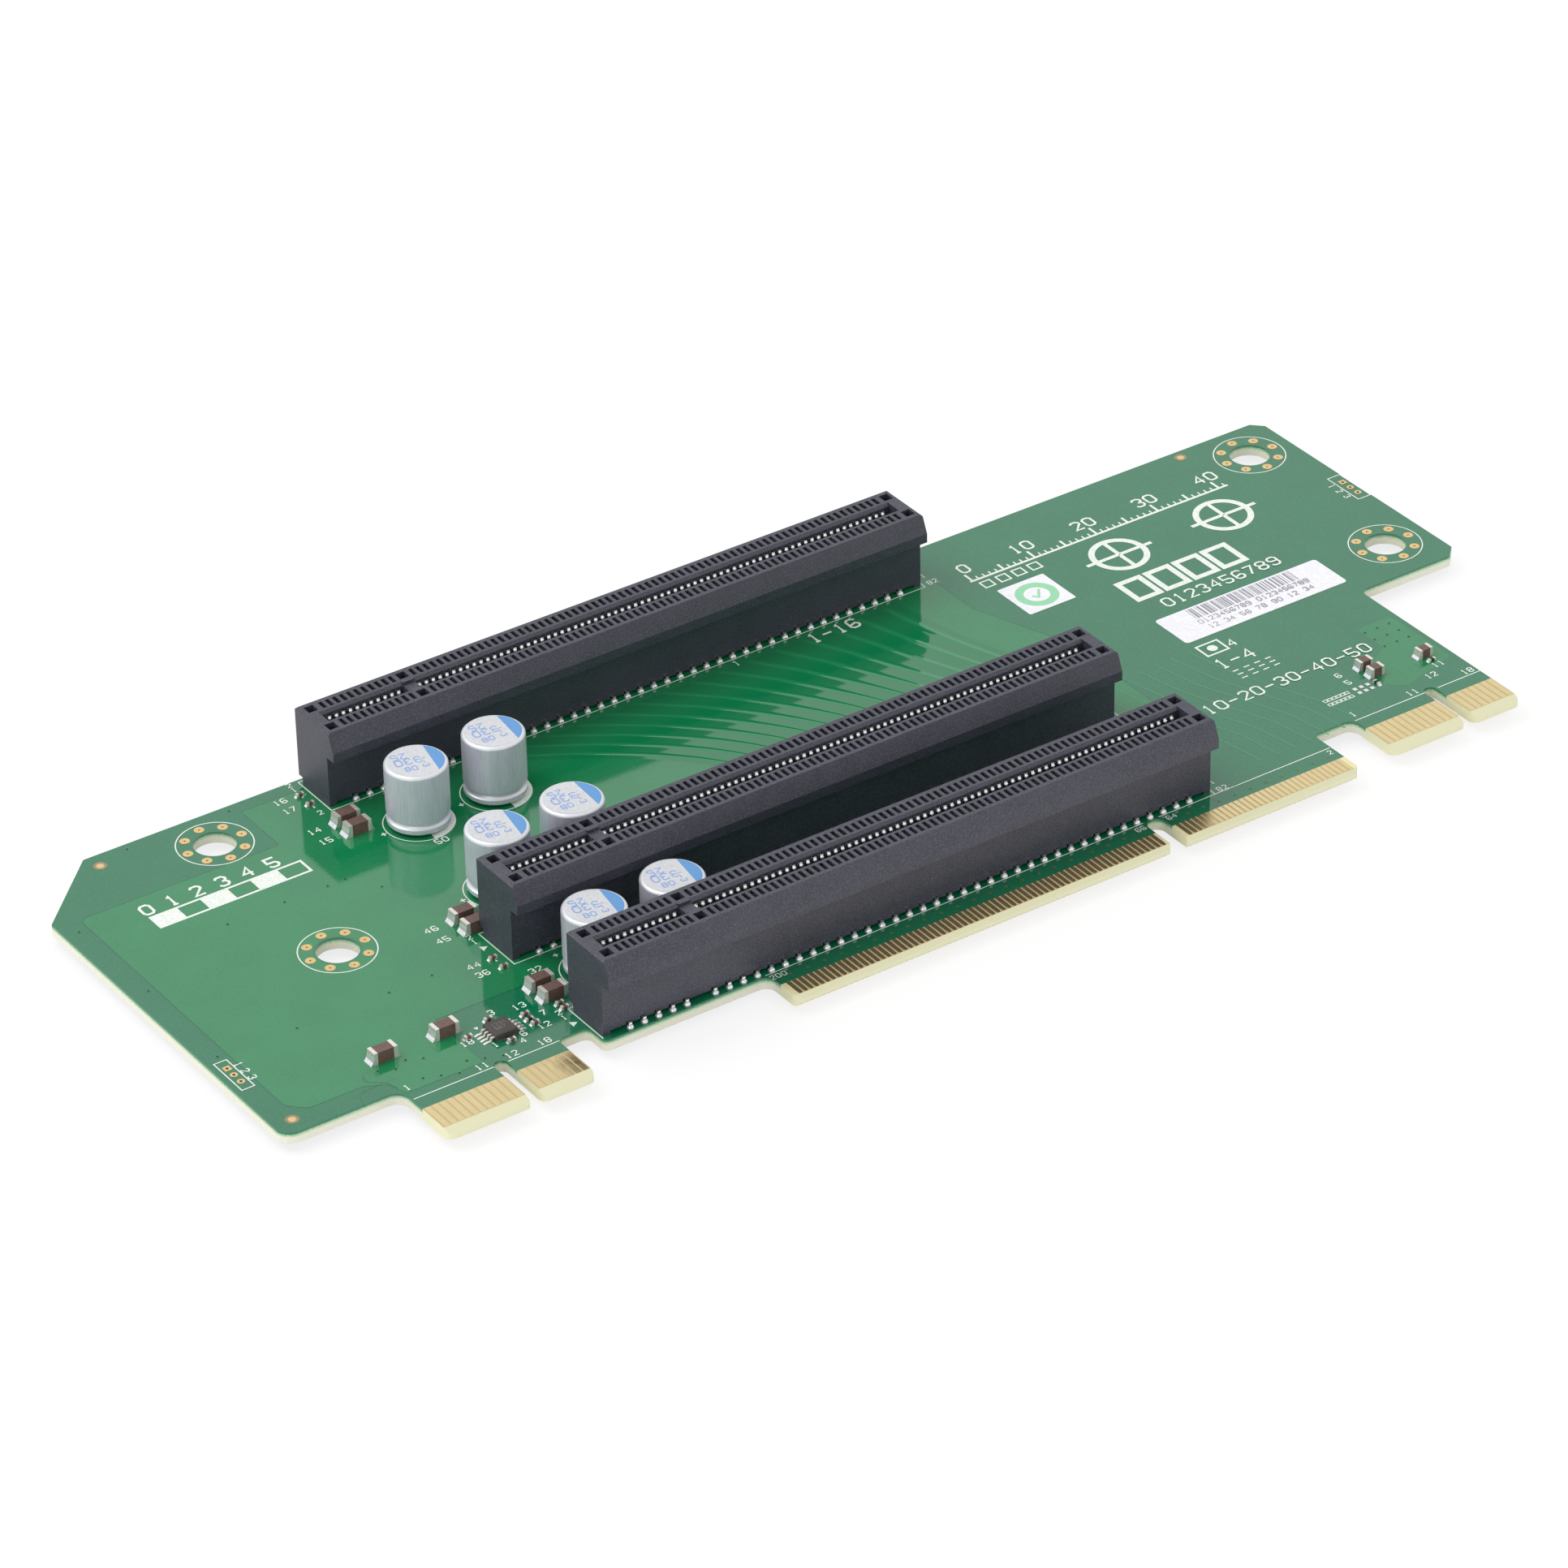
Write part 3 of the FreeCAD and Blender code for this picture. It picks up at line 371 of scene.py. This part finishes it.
# Flat prints: each shape is (points, faces, uv), gathered into one mesh per print
def ribbon(path, width, closed=False, rise=0.0):
    """Strip of the given width along a path: each point moves along its mitred normal by plus and minus half the
    width; rise lifts the middle line into a low roof. The strip climbs 3 micrometres from end to end, so that strips
    that cross share no plane. UV runs 0..1 across and along."""
    p = np.asarray(path, float)
    forward = np.roll(p, -1, 0) - p
    backward = p - np.roll(p, 1, 0)
    if not closed:
        forward[-1] = backward[-1]
        backward[0] = forward[0]
    a = forward / np.maximum(np.linalg.norm(forward, axis=1), 1e-9)[:, None]
    b = backward / np.maximum(np.linalg.norm(backward, axis=1), 1e-9)[:, None]
    way = a + b
    way /= np.maximum(np.linalg.norm(way, axis=1), 1e-9)[:, None]
    mitre = 1.0 / np.maximum((way * a).sum(1), 0.6)
    normal = np.c_[-way[:, 1], way[:, 0]] * mitre[:, None]
    n = len(p)
    rows = [(-0.5, 0.0), (0.0, rise), (0.5, 0.0)] if rise else [(-0.5, 0.0), (0.5, 0.0)]
    climb = np.linspace(0, 0.003, n)
    verts = np.concatenate([np.c_[p + normal * (width * k), climb + z] for k, z in rows])
    uv = np.concatenate([np.c_[np.full(n, k + 0.5), np.linspace(0, 1, n)] for k, z in rows])
    i = np.arange(n if closed else n - 1)
    j = (i + 1) % n
    faces = np.concatenate([np.c_[i + r * n, j + r * n, j + (r + 1) * n, i + (r + 1) * n]
                            for r in range(len(rows) - 1)])
    return verts, faces.tolist(), uv


def arc(x, y, r, start=0.0, end=360.0, n=64):
    """Points on a circle of radius r between two angles in degrees."""
    t = np.radians(np.linspace(start, end, n, endpoint=abs(end - start) < 360))
    return np.c_[x + r * np.cos(t), y + r * np.sin(t)]


def filled(points):
    """One flat face through the points, with UV from their place."""
    p = np.asarray(points, float)
    return np.c_[p, np.zeros(len(p))], [list(range(len(p)))], p


def disc(x, y, r, n=24):
    """Filled circle of radius r."""
    return filled(arc(x, y, r, n=n))


def line(points, width=LINE, closed=False):
    """Printed line through the points."""
    return ribbon(points, width, closed)


def circle(x, y, r, width=LINE, n=64):
    """Printed line round a circle of radius r."""
    return ribbon(arc(x, y, r, n=n), width, True)


def rect(x0, y0, x1, y1, width=LINE):
    """Printed line round a rectangle between two corners."""
    return line([(x0, y0), (x1, y0), (x1, y1), (x0, y1)], width, True)


def block(x0, y0, x1, y1):
    """Filled rectangle between two corners."""
    return filled([(x0, y0), (x1, y0), (x1, y1), (x0, y1)])


# Plain stroke digits on a grid 4 wide and 6 high: each stroke is its points' grid places, two figures a point
STROKES = {
    "0": ["010516364541301001"], "1": ["152620", "1030"], "2": ["05163645440040"],
    "3": ["0516364544334241301001", "2333"], "4": ["30360242"], "5": ["460603334241301001"],
    "6": ["4536160501103041423302"], "7": ["064610"], "8": ["13040516364544331302011030414233"],
    "9": ["4313040516364541301001"], "+": ["2125", "0343"], "-": ["0343"]}


def numbers(words, x, y, height, angle=0.0, width=None):
    """Digits centred on (x, y): each stroke's grid points times height / 6, turned by angle. Each stroke lies 4
    micrometres over the one before, where they cross."""
    made = []
    unit = height / 6.0
    total = len(words) * 6.0 - 2.0
    c, s = math.cos(math.radians(angle)), math.sin(math.radians(angle))
    for k, sign in enumerate(words):
        for stroke in STROKES.get(sign, []):
            p = np.array([int(figure) for figure in stroke], float).reshape(-1, 2) + (k * 6.0, 0.0)
            p = (p - (total / 2, 3.0)) * unit
            p = np.c_[x + p[:, 0] * c - p[:, 1] * s, y + p[:, 0] * s + p[:, 1] * c]
            v, f, uv = ribbon(p, width or height * 0.17)
            made.append((v + (0, 0, 0.004 * len(made)), f, uv))
    return made


def shape(name, parts, finish, origin=CONTACT_1, z=BOARD_TOP):
    """Joins flat shapes into one piece at height z plus its lift above the board's underside, in millimetres."""
    verts, faces, uvs, base = [], [], [], 0
    for v, f, uv in parts:
        verts.append(v)
        uvs.append(uv)
        faces += [[i + base for i in face] for face in f]
        base += len(v)
    verts = np.concatenate(verts)
    verts[:, :2] += origin
    verts[:, 2] += z + LIFTS.get(name, 0.0)
    mesh = bpy.data.meshes.new(name)
    mesh.from_pydata((verts * MM).tolist(), [], faces)
    layer = mesh.uv_layers.new(name="UVMap")
    corner = np.empty(len(mesh.loops), int)
    mesh.loops.foreach_get("vertex_index", corner)
    layer.data.foreach_set("uv", np.concatenate(uvs)[corner].astype(np.float32).ravel())
    mesh.materials.append(finish)
    made = bpy.data.objects.new(name, mesh)
    bpy.context.scene.collection.objects.link(made)
    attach(made, "root")
    return made


def rounded(corners, n=8):
    """Closed path through (x, y, r) corners: each corner with r becomes an arc tangent to its two sides."""
    out = []
    pts = np.array([c[:2] for c in corners], float)
    for i, (x, y, r) in enumerate(corners):
        here = pts[i]
        if r <= 0:
            out.append(here[None])
            continue
        a = pts[i - 1] - here
        b = pts[(i + 1) % len(pts)] - here
        a /= np.linalg.norm(a)
        b /= np.linalg.norm(b)
        half = math.acos(float(np.clip(a @ b, -1, 1))) / 2
        mid = (a + b) / np.linalg.norm(a + b)
        centre = here + mid * r / math.sin(half)
        first = here + a * r / math.tan(half) - centre
        last = here + b * r / math.tan(half) - centre
        t0, t1 = math.atan2(first[1], first[0]), math.atan2(last[1], last[0])
        t1 = t0 + (t1 - t0 + math.pi) % (2 * math.pi) - math.pi
        t = np.linspace(t0, t1, n)
        out.append(centre + r * np.c_[np.cos(t), np.sin(t)])
    return np.concatenate(out)


def middle_top(box):
    """Middle of a box's top face in millimetres: x and y from contact 1, z from the frame's origin."""
    low, high = box
    return ((low[0] + high[0]) / 2 / MM - CONTACT_1[0], (low[1] + high[1]) / 2 / MM - CONTACT_1[1], high[2] / MM)


# Copper under the mask: the wide pour, a small patch at the right and the fan of traces
pour_corner = [(-40.3, -6.7, 1.2)]
pour_right = [(-12.4, -6.7, 0.3), (-12.4, 2.4, 0.3), (88, 2.4, 0), (88, -12, 0), (93, -26, 0), (93, -49.7, 0),
              (-17, -49.7, 0), (-17, -60.3, 0)]
pour_left = [(-27.6, -60.3, 0.5), (-28.4, -57.6, 0.8), (-31, -56.2, 1), (-38.3, -56.2, 1.5), (-40.3, -54.2, 1.5)]
pour = rounded((pour_corner + pour_right + pour_left)[::-1])
patch = rounded([(124.2, -45, 0.8), (124.2, -50.5, 0.5), (120.5, -52.5, 0.5), (118.5, -57, 0.5), (121, -59.3, 0.5),
                 (129.8, -57, 0.5), (129.8, -45, 0.8)])
# The pour goes round one mounting hole, so it is laid as a left and a right half that meet over the hole's middle
hole_x, hole_y = HOLES[1]
meets = [(hole_x, -6.7, 0), (hole_x, -60.3, 0)]
half_ring = [(x, y, 0) for x, y in arc(hole_x, hole_y, 2.9, 90.0, 270.0, 33)]
left_half = pour_corner + meets[:1] + half_ring + meets[1:] + pour_left
right_half = meets[1:] + [(2 * hole_x - x, y, 0) for x, y, _ in half_ring[::-1]] + meets[:1] + pour_right
shape("copper_pour", [filled(rounded(half)[::-1]) for half in (left_half, right_half)] + [filled(patch)],
      MASK_COPPER)


def fan_patch():
    """Grid over the trace fan, column u on trace number u. Down the board (depth d) each trace follows the parabola
    x = a + s (d - first) + c (d - first)(d - second) through its places at the first and second turn and the end."""
    u, d = np.meshgrid(np.linspace(-0.5, 14.5, 31), np.linspace(FAN_START, FAN_END, 22))
    # Where trace 0 lies at each of the three depths, and how far apart the traces are there
    at_first, at_second, at_end = 27.3 + 3.76 * u, 38.4 + 3.14 * u, 43.5 + 2.95 * u
    slope = (at_second - at_first) / (FAN_SECOND - FAN_FIRST)
    bow = ((at_end - at_second) / (FAN_END - FAN_SECOND) - slope) / (FAN_END - FAN_FIRST)
    x = at_first + slope * (d - FAN_FIRST) + bow * (d - FAN_FIRST) * (d - FAN_SECOND)
    rows, columns = u.shape
    i = np.arange(rows - 1)[:, None] * columns + np.arange(columns - 1)
    faces = np.stack([i + columns, i + columns + 1, i + 1, i], -1).reshape(-1, 4)
    # UV's first part is the trace number plus 10, so that its fraction runs up everywhere
    uv = np.c_[u.ravel() + 10, (d.ravel() - FAN_START) / (FAN_END - FAN_START)]
    return np.c_[x.ravel(), -d.ravel(), np.zeros(u.size)], faces.tolist(), uv


shape("trace_fan", [fan_patch()], MASK_FAN)
fan = []
for i in range(7):
    x0 = 88.0 + 2.6 * i
    bends = [(x0, -36.5, 0), (x0 + 1.6, -44.0, 3), (x0 + 6.4, -56.0, 3), (x0 + 7.5, -62.5, 0)]
    fan.append(ribbon(rounded(bends, 5), 0.18, rise=0.02))
shape("side_traces", fan, MASK_TRACE)
# Gaps in the copper and one hair-thin scratch at the left front corner
gaps = [ribbon(rounded([(-29.9, -54.4, 0), (-30.3, -55.6, 0.6), (-28.4, -57.2, 1.2), (-27.9, -58.8, 0)], 6), 0.14),
        ribbon(rounded([(-33.0, -60.0, 0), (-32.3, -57.2, 1.5), (-27.2, -57.0, 0)], 6), 0.05),
        ribbon(pour, 0.09, True)]
shape("copper_gaps", gaps, MASK_GAP)

# White print: circles round the holes, outlines of the sockets with their first and last contacts' numbers
white = [circle(x, y, 4.8) for x, y in HOLES]
for k, y in enumerate(SOCKET_Y):
    # The last socket stands at the board's edge: its outline is open, and the lower left numbers have no room
    last = k == len(SOCKET_Y) - 1
    far, near = y + SOCKET_HALF, y - SOCKET_HALF
    white.append(line([(SOCKET_LEFT, near + 0.4 if last else near), (SOCKET_LEFT, far), (SOCKET_RIGHT, far),
                       (SOCKET_RIGHT, near)], closed=not last))
    for text, dy in (("2", 4.4), ("1", 3.1), ("1", -1.9), ("2", -3.9))[:2 if last else 4]:
        white += numbers(text, -4.6, y + dy * 0.9, 0.85)
    white += numbers("1", 87.5, y - 1.5, 0.85)
    white += numbers("82", 87.7, y - 3.4, 0.85)
    white.append(filled([(-4.7, y + 1.6), (-3.8, y + 1.1), (-4.7, y + 0.5)]))
# Rules over the finger groups
for x0, x1, y in ((-27.6, -16.7, -61.85), (-14.7, -7.6, -61.85), (19.3, 75.1, -64.95), (77.5, 104.05, -64.95),
                  (110.5, 121.6, -61.9), (123.7, 130.5, -61.9)):
    white.append(line([(x0, y), (x1, y)]))
# Plain numbers beside parts and fingers: text, place and height
BESIDE = (("16", -7.4, 1.4, 1.0), ("17", -7.4, -0.9, 1.0), ("14", -7.4, -6.7, 1.0), ("15", -7.4, -9.4, 1.0),
          ("46", -7.4, -33.4, 1.0), ("45", -7.4, -36.1, 1.0), ("44", -7.4, -42.9, 1.0), ("36", -7.4, -44.9, 1.0),
          ("50", 4.1, -17.6, 1.0), ("32", -1.9, -47.9, 1.0), ("3", -11.0, -52.3, 0.95), ("13", -7.6, -53.1, 0.95),
          ("18", -16.6, -55.9, 0.95), ("1", -14.1, -58.1, 0.95), ("7", -6.0, -55.9, 0.95), ("6", -10.2, -58.1, 0.95),
          ("12", -7.3, -58.1, 0.95), ("4", -11.0, -59.3, 0.95), ("1", -27.0, -59.4, 0.95),
          ("11", -17.7, -60.9, 0.95), ("12", -13.6, -60.9, 0.95), ("18", -9.1, -60.9, 0.95),
          ("6", 115.4, -52.3, 0.95), ("5", 115.4, -54.3, 0.95), ("11", 127.3, -57.5, 0.95),
          ("12", 124.9, -59.1, 0.95), ("1", 111.2, -60.5, 0.95), ("11", 120.4, -60.9, 0.95),
          ("18", 129.2, -61.0, 0.95), ("200", 20.6, -65.8, 0.8), ("66", 74.1, -65.8, 0.8), ("64", 78.8, -65.8, 0.8),
          ("2", 103.4, -65.8, 0.8), ("1", 56.1, -5.0, 0.95), ("+", -0.9, -12.3, 1.1), ("+", 10.3, -12.3, 1.1),
          ("+", -0.9, -30.3, 1.1), ("+", 9.7, -30.4, 1.1), ("+", 1.7, -46.7, 1.1), ("+", 12.8, -46.7, 1.1))
for text, x, y, height in BESIDE:
    white += numbers(text, x, y, height)
for k, number in enumerate("123"):
    white += numbers(number, -40.35, -43.86 - 1.58 * k, 0.95, -90)
    white += numbers(number, 144.2, -14.8 - 1.6 * k, 0.85, -90)
white += [rect(-42.7, -48.65, -41.0, -42.25), rect(144.9, -19.5, 146.9, -13.0)]
# Small squares beside the bare pads, and a dash and an arrowhead among the left chips
for k in range(6):
    x = 110.1 + 0.68 * k
    white += [rect(x, y, x + 0.5, y + 0.5, 0.13) for y in (-56.4, -57.4)]
white += [line([(-13.6, -57.75), (-10.8, -57.75)]), filled([(-14.4, -53.8), (-13.8, -53.8), (-14.1, -54.4)])]
# Round each can a circle, and a filled crescent on one side
can_tops = []
for k, tilt in enumerate(CAN_TILT):
    x, y, z = middle_top(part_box("capacitor_%d_can" % (k + 1)))
    can_tops.append((x, y, z))
    white.append(circle(x, y, CAN_CIRCLE, 0.14))
    outer, inner = (arc(x, y, r, tilt - 84, tilt + 84, 40) for r in CAN_CRESCENT)
    white.append(filled(np.concatenate([outer, inner[::-1]])))
# A long rule with plain numbers, rows of empty boxes, target marks and plain numbers
white.append(line([(91.6, -6.4), (133.4, -6.4)], 0.4))
for k in range(42):
    x = 92.0 + k
    white.append(line([(x, -6.4), (x, -5.6 if k % 5 else (-4.9 if k % 10 else -4.5))], 0.22 if k % 5 else 0.35))
    if k % 10 == 0:
        white += numbers(str(k), x + (0.8 if k == 0 else 0), -3.2, 1.9, width=0.32)
for k in range(4):
    white.append(rect(92.4 + 2.5 * k, -8.8, 93.9 + 2.5 * k, -7.3, 0.25))
y, r = -12.2, 3.6
for x in (111.2, 128.2):
    white += [circle(x, y, r, 0.85), line([(x - r - 1.6, y), (x + r + 1.6, y)], 0.6),
              line([(x, y - r), (x, y + r)], 0.6)]
for k in range(4):
    x = 106.4 + 4.6 * k
    white.append(rect(x, -22.8, x + 3.4, -18.2, 0.85))
white += numbers("0123456789", 117.6, -25.4, 1.9, width=0.3)
white += [rect(105.1, -39.0, 108.4, -36.4, 0.3), disc(106.75, -37.7, 0.7)]
white += numbers("4", 109.5, -38.1, 1.5, width=0.25)
white += numbers("1-4", 107.5, -41.4, 2.1, width=0.3)
for x in 105.4 + 1.7 * np.arange(4):
    white += [line([(x, y), (x + 0.9, y)], 0.22) for y in -43.7 - 0.95 * np.arange(3)]
white += numbers("10-20-30-40-50", 109.8, -49.1, 1.9, width=0.28)
white += numbers("1-16", 70.5, -5.8, 2.0, width=0.34)
# Scale bar at the left: alternating blocks with plain numbers
for k in range(6):
    x = -33.2 + 3.5 * k
    white.append(rect(x, -13.9, x + 3.5, -11.3, 0.34))
    if k % 2 == 0:
        white.append(block(x + 0.1, -13.8, x + 3.4, -11.4))
    white += numbers(str(k), x + 0.5, -9.6, 2.0, width=0.36)
shape("white_print", white, INK)

# Gold pads: rings of vias round the holes, alignment marks, two rows of header pads
pads, barrels, ring_barrels = [], [], []
for x, y in HOLES:
    for t in np.radians(45 * np.arange(8)):
        u, w = x + VIA_RING * math.cos(t), y + VIA_RING * math.sin(t)
        pads.append(disc(u, w, RING_PAD))
        ring_barrels.append(disc(u, w, RING_HOLE, 12))
pads += [disc(x, y, 0.5) for x, y in TARGETS]
header = [(-41.85, -43.86), (-41.85, -45.4), (-41.85, -47.0), (146.0, -14.8), (146.0, -16.4), (146.0, -18.0)]
for k, (x, y) in enumerate(header):
    pads.append(block(x - 0.47, y - 0.47, x + 0.47, y + 0.47) if k % 3 == 0 else disc(x, y, 0.48))
    barrels.append(disc(x, y, 0.2, 12))
shape("fiducial_clearings", [circle(x, y, 0.68, 0.36) for x, y in TARGETS], CLEARING)
shape("gold_pads", pads, PAD)
# Small vias over the board, and below VIA_ROW those of the long tab's fingers, whose centres are paler
VIA_ROW = -66
spots = [(-13.5, 3.4), (-27.9, 3.4), (-41.6, -8.9), (-41.2, -24.6), (-41.5, -41.1), (-26.4, -18.0), (-18.4, -17.9),
         (-12.4, -18.0), (-9.9, -18.0), (-31.0, -41.6), (-18.4, -41.7), (-12.4, -41.6), (-7.2, -22.0)]
# The fifth via of the right row is left out, because it would hang over the notch in the long tab
spots += [(66.3 + 2.42 * k, -66.4) for k in range(16) if k != 4] + [(22.0 + 2.42 * k, -66.4) for k in range(18)]
spots += [(x, y) for x in (124.6, 126.6, 128.5) for y in (-46.2, -48.2, -50.2)]
spots += [(-28.0 + 1.9 * k, -54.6 - 0.9 * (k % 2)) for k in range(4)]
spots += [(-24.5 + 2.0 * k, -58.9 - 0.8 * (k % 3)) for k in range(7)]
barrels += [disc(x, y, 0.15, 10) for x, y in spots if y > VIA_ROW]
ring_barrels += [disc(x, y, 0.15, 10) for x, y in spots if y < VIA_ROW]
shape("via_lands", [circle(x, y, 0.24, 0.12, 16) for x, y in spots], MASK_TRACE)
# Dark discs over the header holes and vias: painted shade inside the holes
shape("via_hole_shades", barrels, HOLE_SHADE)
shape("ring_barrels", ring_barrels, RING_BARREL)

# Bare solder pads of the unfitted chips
tinned = [block(x - 0.28, y - 0.3, x + 0.28, y + 0.3) for x in (115.1, 116.1, 117.1) for y in (-56.1, -57.1)]
shape("tinned_pads", tinned, SOLDER)


def wedge(x0, x1, y0, y1, h0, h1):
    """Block on the board whose top slopes from height h0 at x0 to h1 at x1."""
    v = np.array([(x0, y0, 0), (x1, y0, 0), (x1, y1, 0), (x0, y1, 0),
                  (x0, y0, h0), (x1, y0, h1), (x1, y1, h1), (x0, y1, h0)])
    return v, [[4, 5, 6, 7], [0, 1, 5, 4], [1, 2, 6, 5], [2, 3, 7, 6], [3, 0, 4, 7]], v[:, :2]


# Solder on the small chip's feet, and its laser marking in plain numbers
low, high = (np.array(corner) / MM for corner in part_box("ic_leads"))
feet = []
for k in range(4):
    y = low[1] + 0.15 + k * (high[1] - low[1] - 0.3) / 3
    feet += [wedge(low[0] - 0.55, low[0] + 0.02, y - 0.17, y + 0.17, 0.03, 0.16),
             wedge(high[0] - 0.02, high[0] + 0.5, y - 0.17, y + 0.17, 0.16, 0.03)]
shape("small_chip_solder", feet, SOLDER, origin=np.zeros(2))
low, high = (np.array(corner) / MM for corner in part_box("ic_body"))
x, y, _ = (low + high) / 2
marking = numbers("1234", x, y + 0.45, 0.5, width=0.1) + numbers("567", x - 0.2, y - 0.3, 0.5, width=0.1)
shape("small_chip_marking", marking, MARKING, origin=np.zeros(2), z=high[2])

# Can tops: pale lacquer with a blue side, and plain pad-printed numbers
tops, marks = [], []
for (x, y, z), tilt in zip(can_tops, CAN_TILT):
    t = math.radians(tilt)
    v, f, _ = disc(x, y, CAN_LACQUER, 64)
    local = v[:, :2] - (x, y)
    across, along = local @ (math.cos(t), math.sin(t)), local @ (-math.sin(t), math.cos(t))
    tops.append((v, f, np.c_[across / TOP_SIZE + TOP_SHIFT, along / TOP_SIZE]))
    for text, up, over, height in (("25", 1.9, -0.2, 1.15), ("330", 0.4, 0.1, 1.25), ("08", -1.2, -0.6, 0.9)):
        middle = x - 0.9 + over * math.cos(t) + up * math.sin(t) * 0.5
        marks += numbers(text, middle, y + up, height, 180 + tilt, width=0.17)
    marks += numbers("1-3", x + 0.75 * math.cos(t), y + 0.75 * math.sin(t) - 0.6, 0.8, 270 + tilt, width=0.12)
top_z = can_tops[0][2]
shape("can_top_lacquer", tops, LACQUER, z=top_z)
shape("can_top_numbers", marks, BLUE_INK, z=top_z)


def crest_cap(sides=12):
    """One spring's rounded crest: a top point and three rings (radius, height), tilted up and forward."""
    turn = np.linspace(0, 2 * np.pi, sides + 1)[:-1]
    cap = np.concatenate([[[0, 0, 0.17]]] + [np.c_[r * np.cos(turn), r * np.sin(turn), np.full(sides, h)]
                                             for r, h in ((0.14, 0.14), (0.24, 0.04), (0.23, -0.08))])
    k = np.arange(sides)
    after = (k + 1) % sides
    faces = [[0, a + 1, b + 1] for a, b in zip(k, after)]
    faces += [[a + ring, a + ring + sides, b + ring + sides, b + ring]
              for ring in (1, 1 + sides) for a, b in zip(k, after)]
    up = np.array([-0.22, -0.45, 0.865])
    up /= np.linalg.norm(up)
    side = np.cross([0, 1, 0], up)
    side /= np.linalg.norm(side)
    return cap @ np.array([side, np.cross(up, side), up]), faces


# Rounded crests of the far row's springs, each a small dome nearly as wide as the spring, in pure white as a painted
# glint
cap, cap_faces = crest_cap()
contact_x = np.r_[np.arange(11), np.arange(13, 84)]
crests = [(cap + np.add(CREST_PLACE, (x, y, 0)), cap_faces, cap[:, :2]) for y in SOCKET_Y for x in contact_x]
crest = shape("spring_crest_glints", crests, CREST_GLINT)
crest.data.shade_smooth()

# Print on the two labels: bars of chance widths and spaces over two rows of plain digits, and a ring with a tick
BAR = 0.11
low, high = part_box("serial_label")
x0, y1 = low[0] / MM - CONTACT_1[0], high[1] / MM - CONTACT_1[1]
rng = np.random.RandomState(7)
bars, u = [], 4.7
while u < 21.4:
    w = BAR * rng.randint(1, 4)
    bars.append(block(x0 + u, y1 - 2.75, x0 + u + w, y1 - 0.3))
    u += w + BAR * rng.randint(1, 4)
bars += numbers("0123456789 0123456789", x0 + 13.2, y1 - 3.6, 0.85, width=0.13)
bars += numbers("12 34 56 78 90 12 34", x0 + 13.2, y1 - 5.2, 0.85, width=0.13)
shape("label_print", bars, THERMAL, z=high[2] / MM)
x, y, z = middle_top(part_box("inspection_sticker"))
green = [circle(x, y - 0.1, 2.3, 1.15), line([(x - 0.8, y - 0.1), (x - 0.2, y - 0.8), (x + 0.9, y + 0.8)], 0.35)]
shape("sticker_print", green, GREEN_INK, z=z)


# Floor and light: a pale sweep that shows white, a white room, a broad soft lamp and a small one at the side
def seen(node):
    """1 for rays that show the surface itself: camera, glossy and transmission rays."""
    ray = node("LightPath").node.outputs
    shown = node("Math", (ray["Is Camera Ray"], ray["Is Glossy Ray"]), operation="MAXIMUM")
    return node("Math", (shown, ray["Is Transmission Ray"]), operation="MAXIMUM")


def paper_sweep():
    """Matt white paper that also shows a part of its white by itself, so that the shadow stays but is faint."""
    made, node, shader, _ = material("paper_sweep", "#fbfbfb", 0.9)
    white = node("Emission", {"Color": (1.0, 1.0, 1.0, 1.0), "Strength": 1.0})
    share = node("Math", (seen(node), 0.8), operation="MULTIPLY")
    mixed = node("MixShader", (share, shader.outputs[0], white))
    fill(made.node_tree.nodes["Material Output"], (mixed,))
    return made


floor_mesh = bpy.data.meshes.new("floor")
floor_mesh.from_pydata([(-4, -4, FLOOR_Z), (4, -4, FLOOR_Z), (4, 4, FLOOR_Z), (-4, 4, FLOOR_Z)], [], [(0, 1, 2, 3)])
floor_mesh.materials.append(paper_sweep())
floor = bpy.data.objects.new("floor", floor_mesh)
bpy.context.scene.collection.objects.link(floor)

world = bpy.data.worlds.new("white_room")
bpy.context.scene.world = world
world.use_nodes = True
sky = functools.partial(add, world.node_tree)
level = sky("MapRange", (seen(sky), 0.0, 1.0, 0.88, 1.0))
fill(world.node_tree.nodes["Background"], {"Color": (1.0, 1.0, 1.0, 1.0), "Strength": level})


def lamp(name, place, size, power):
    """Square area lamp at place, turned to face the origin."""
    data = bpy.data.lights.new(name, "AREA")
    data.size, data.energy = size, power
    made = bpy.data.objects.new(name, data)
    bpy.context.scene.collection.objects.link(made)
    made.location = place
    way = -np.array(place)
    way /= np.linalg.norm(way)
    made.rotation_euler = (math.acos(-way[2]), 0.0, math.atan2(way[1], way[0]) - math.pi / 2)


lamp("key_lamp", (-0.5, 0.35, 0.9), 0.7, 4.5)
lamp("side_lamp", (-1.0, -0.62, 0.42), 0.2, 0.9)

bpy.context.scene.view_settings.view_transform = "Standard"
bpy.context.view_layer.update()
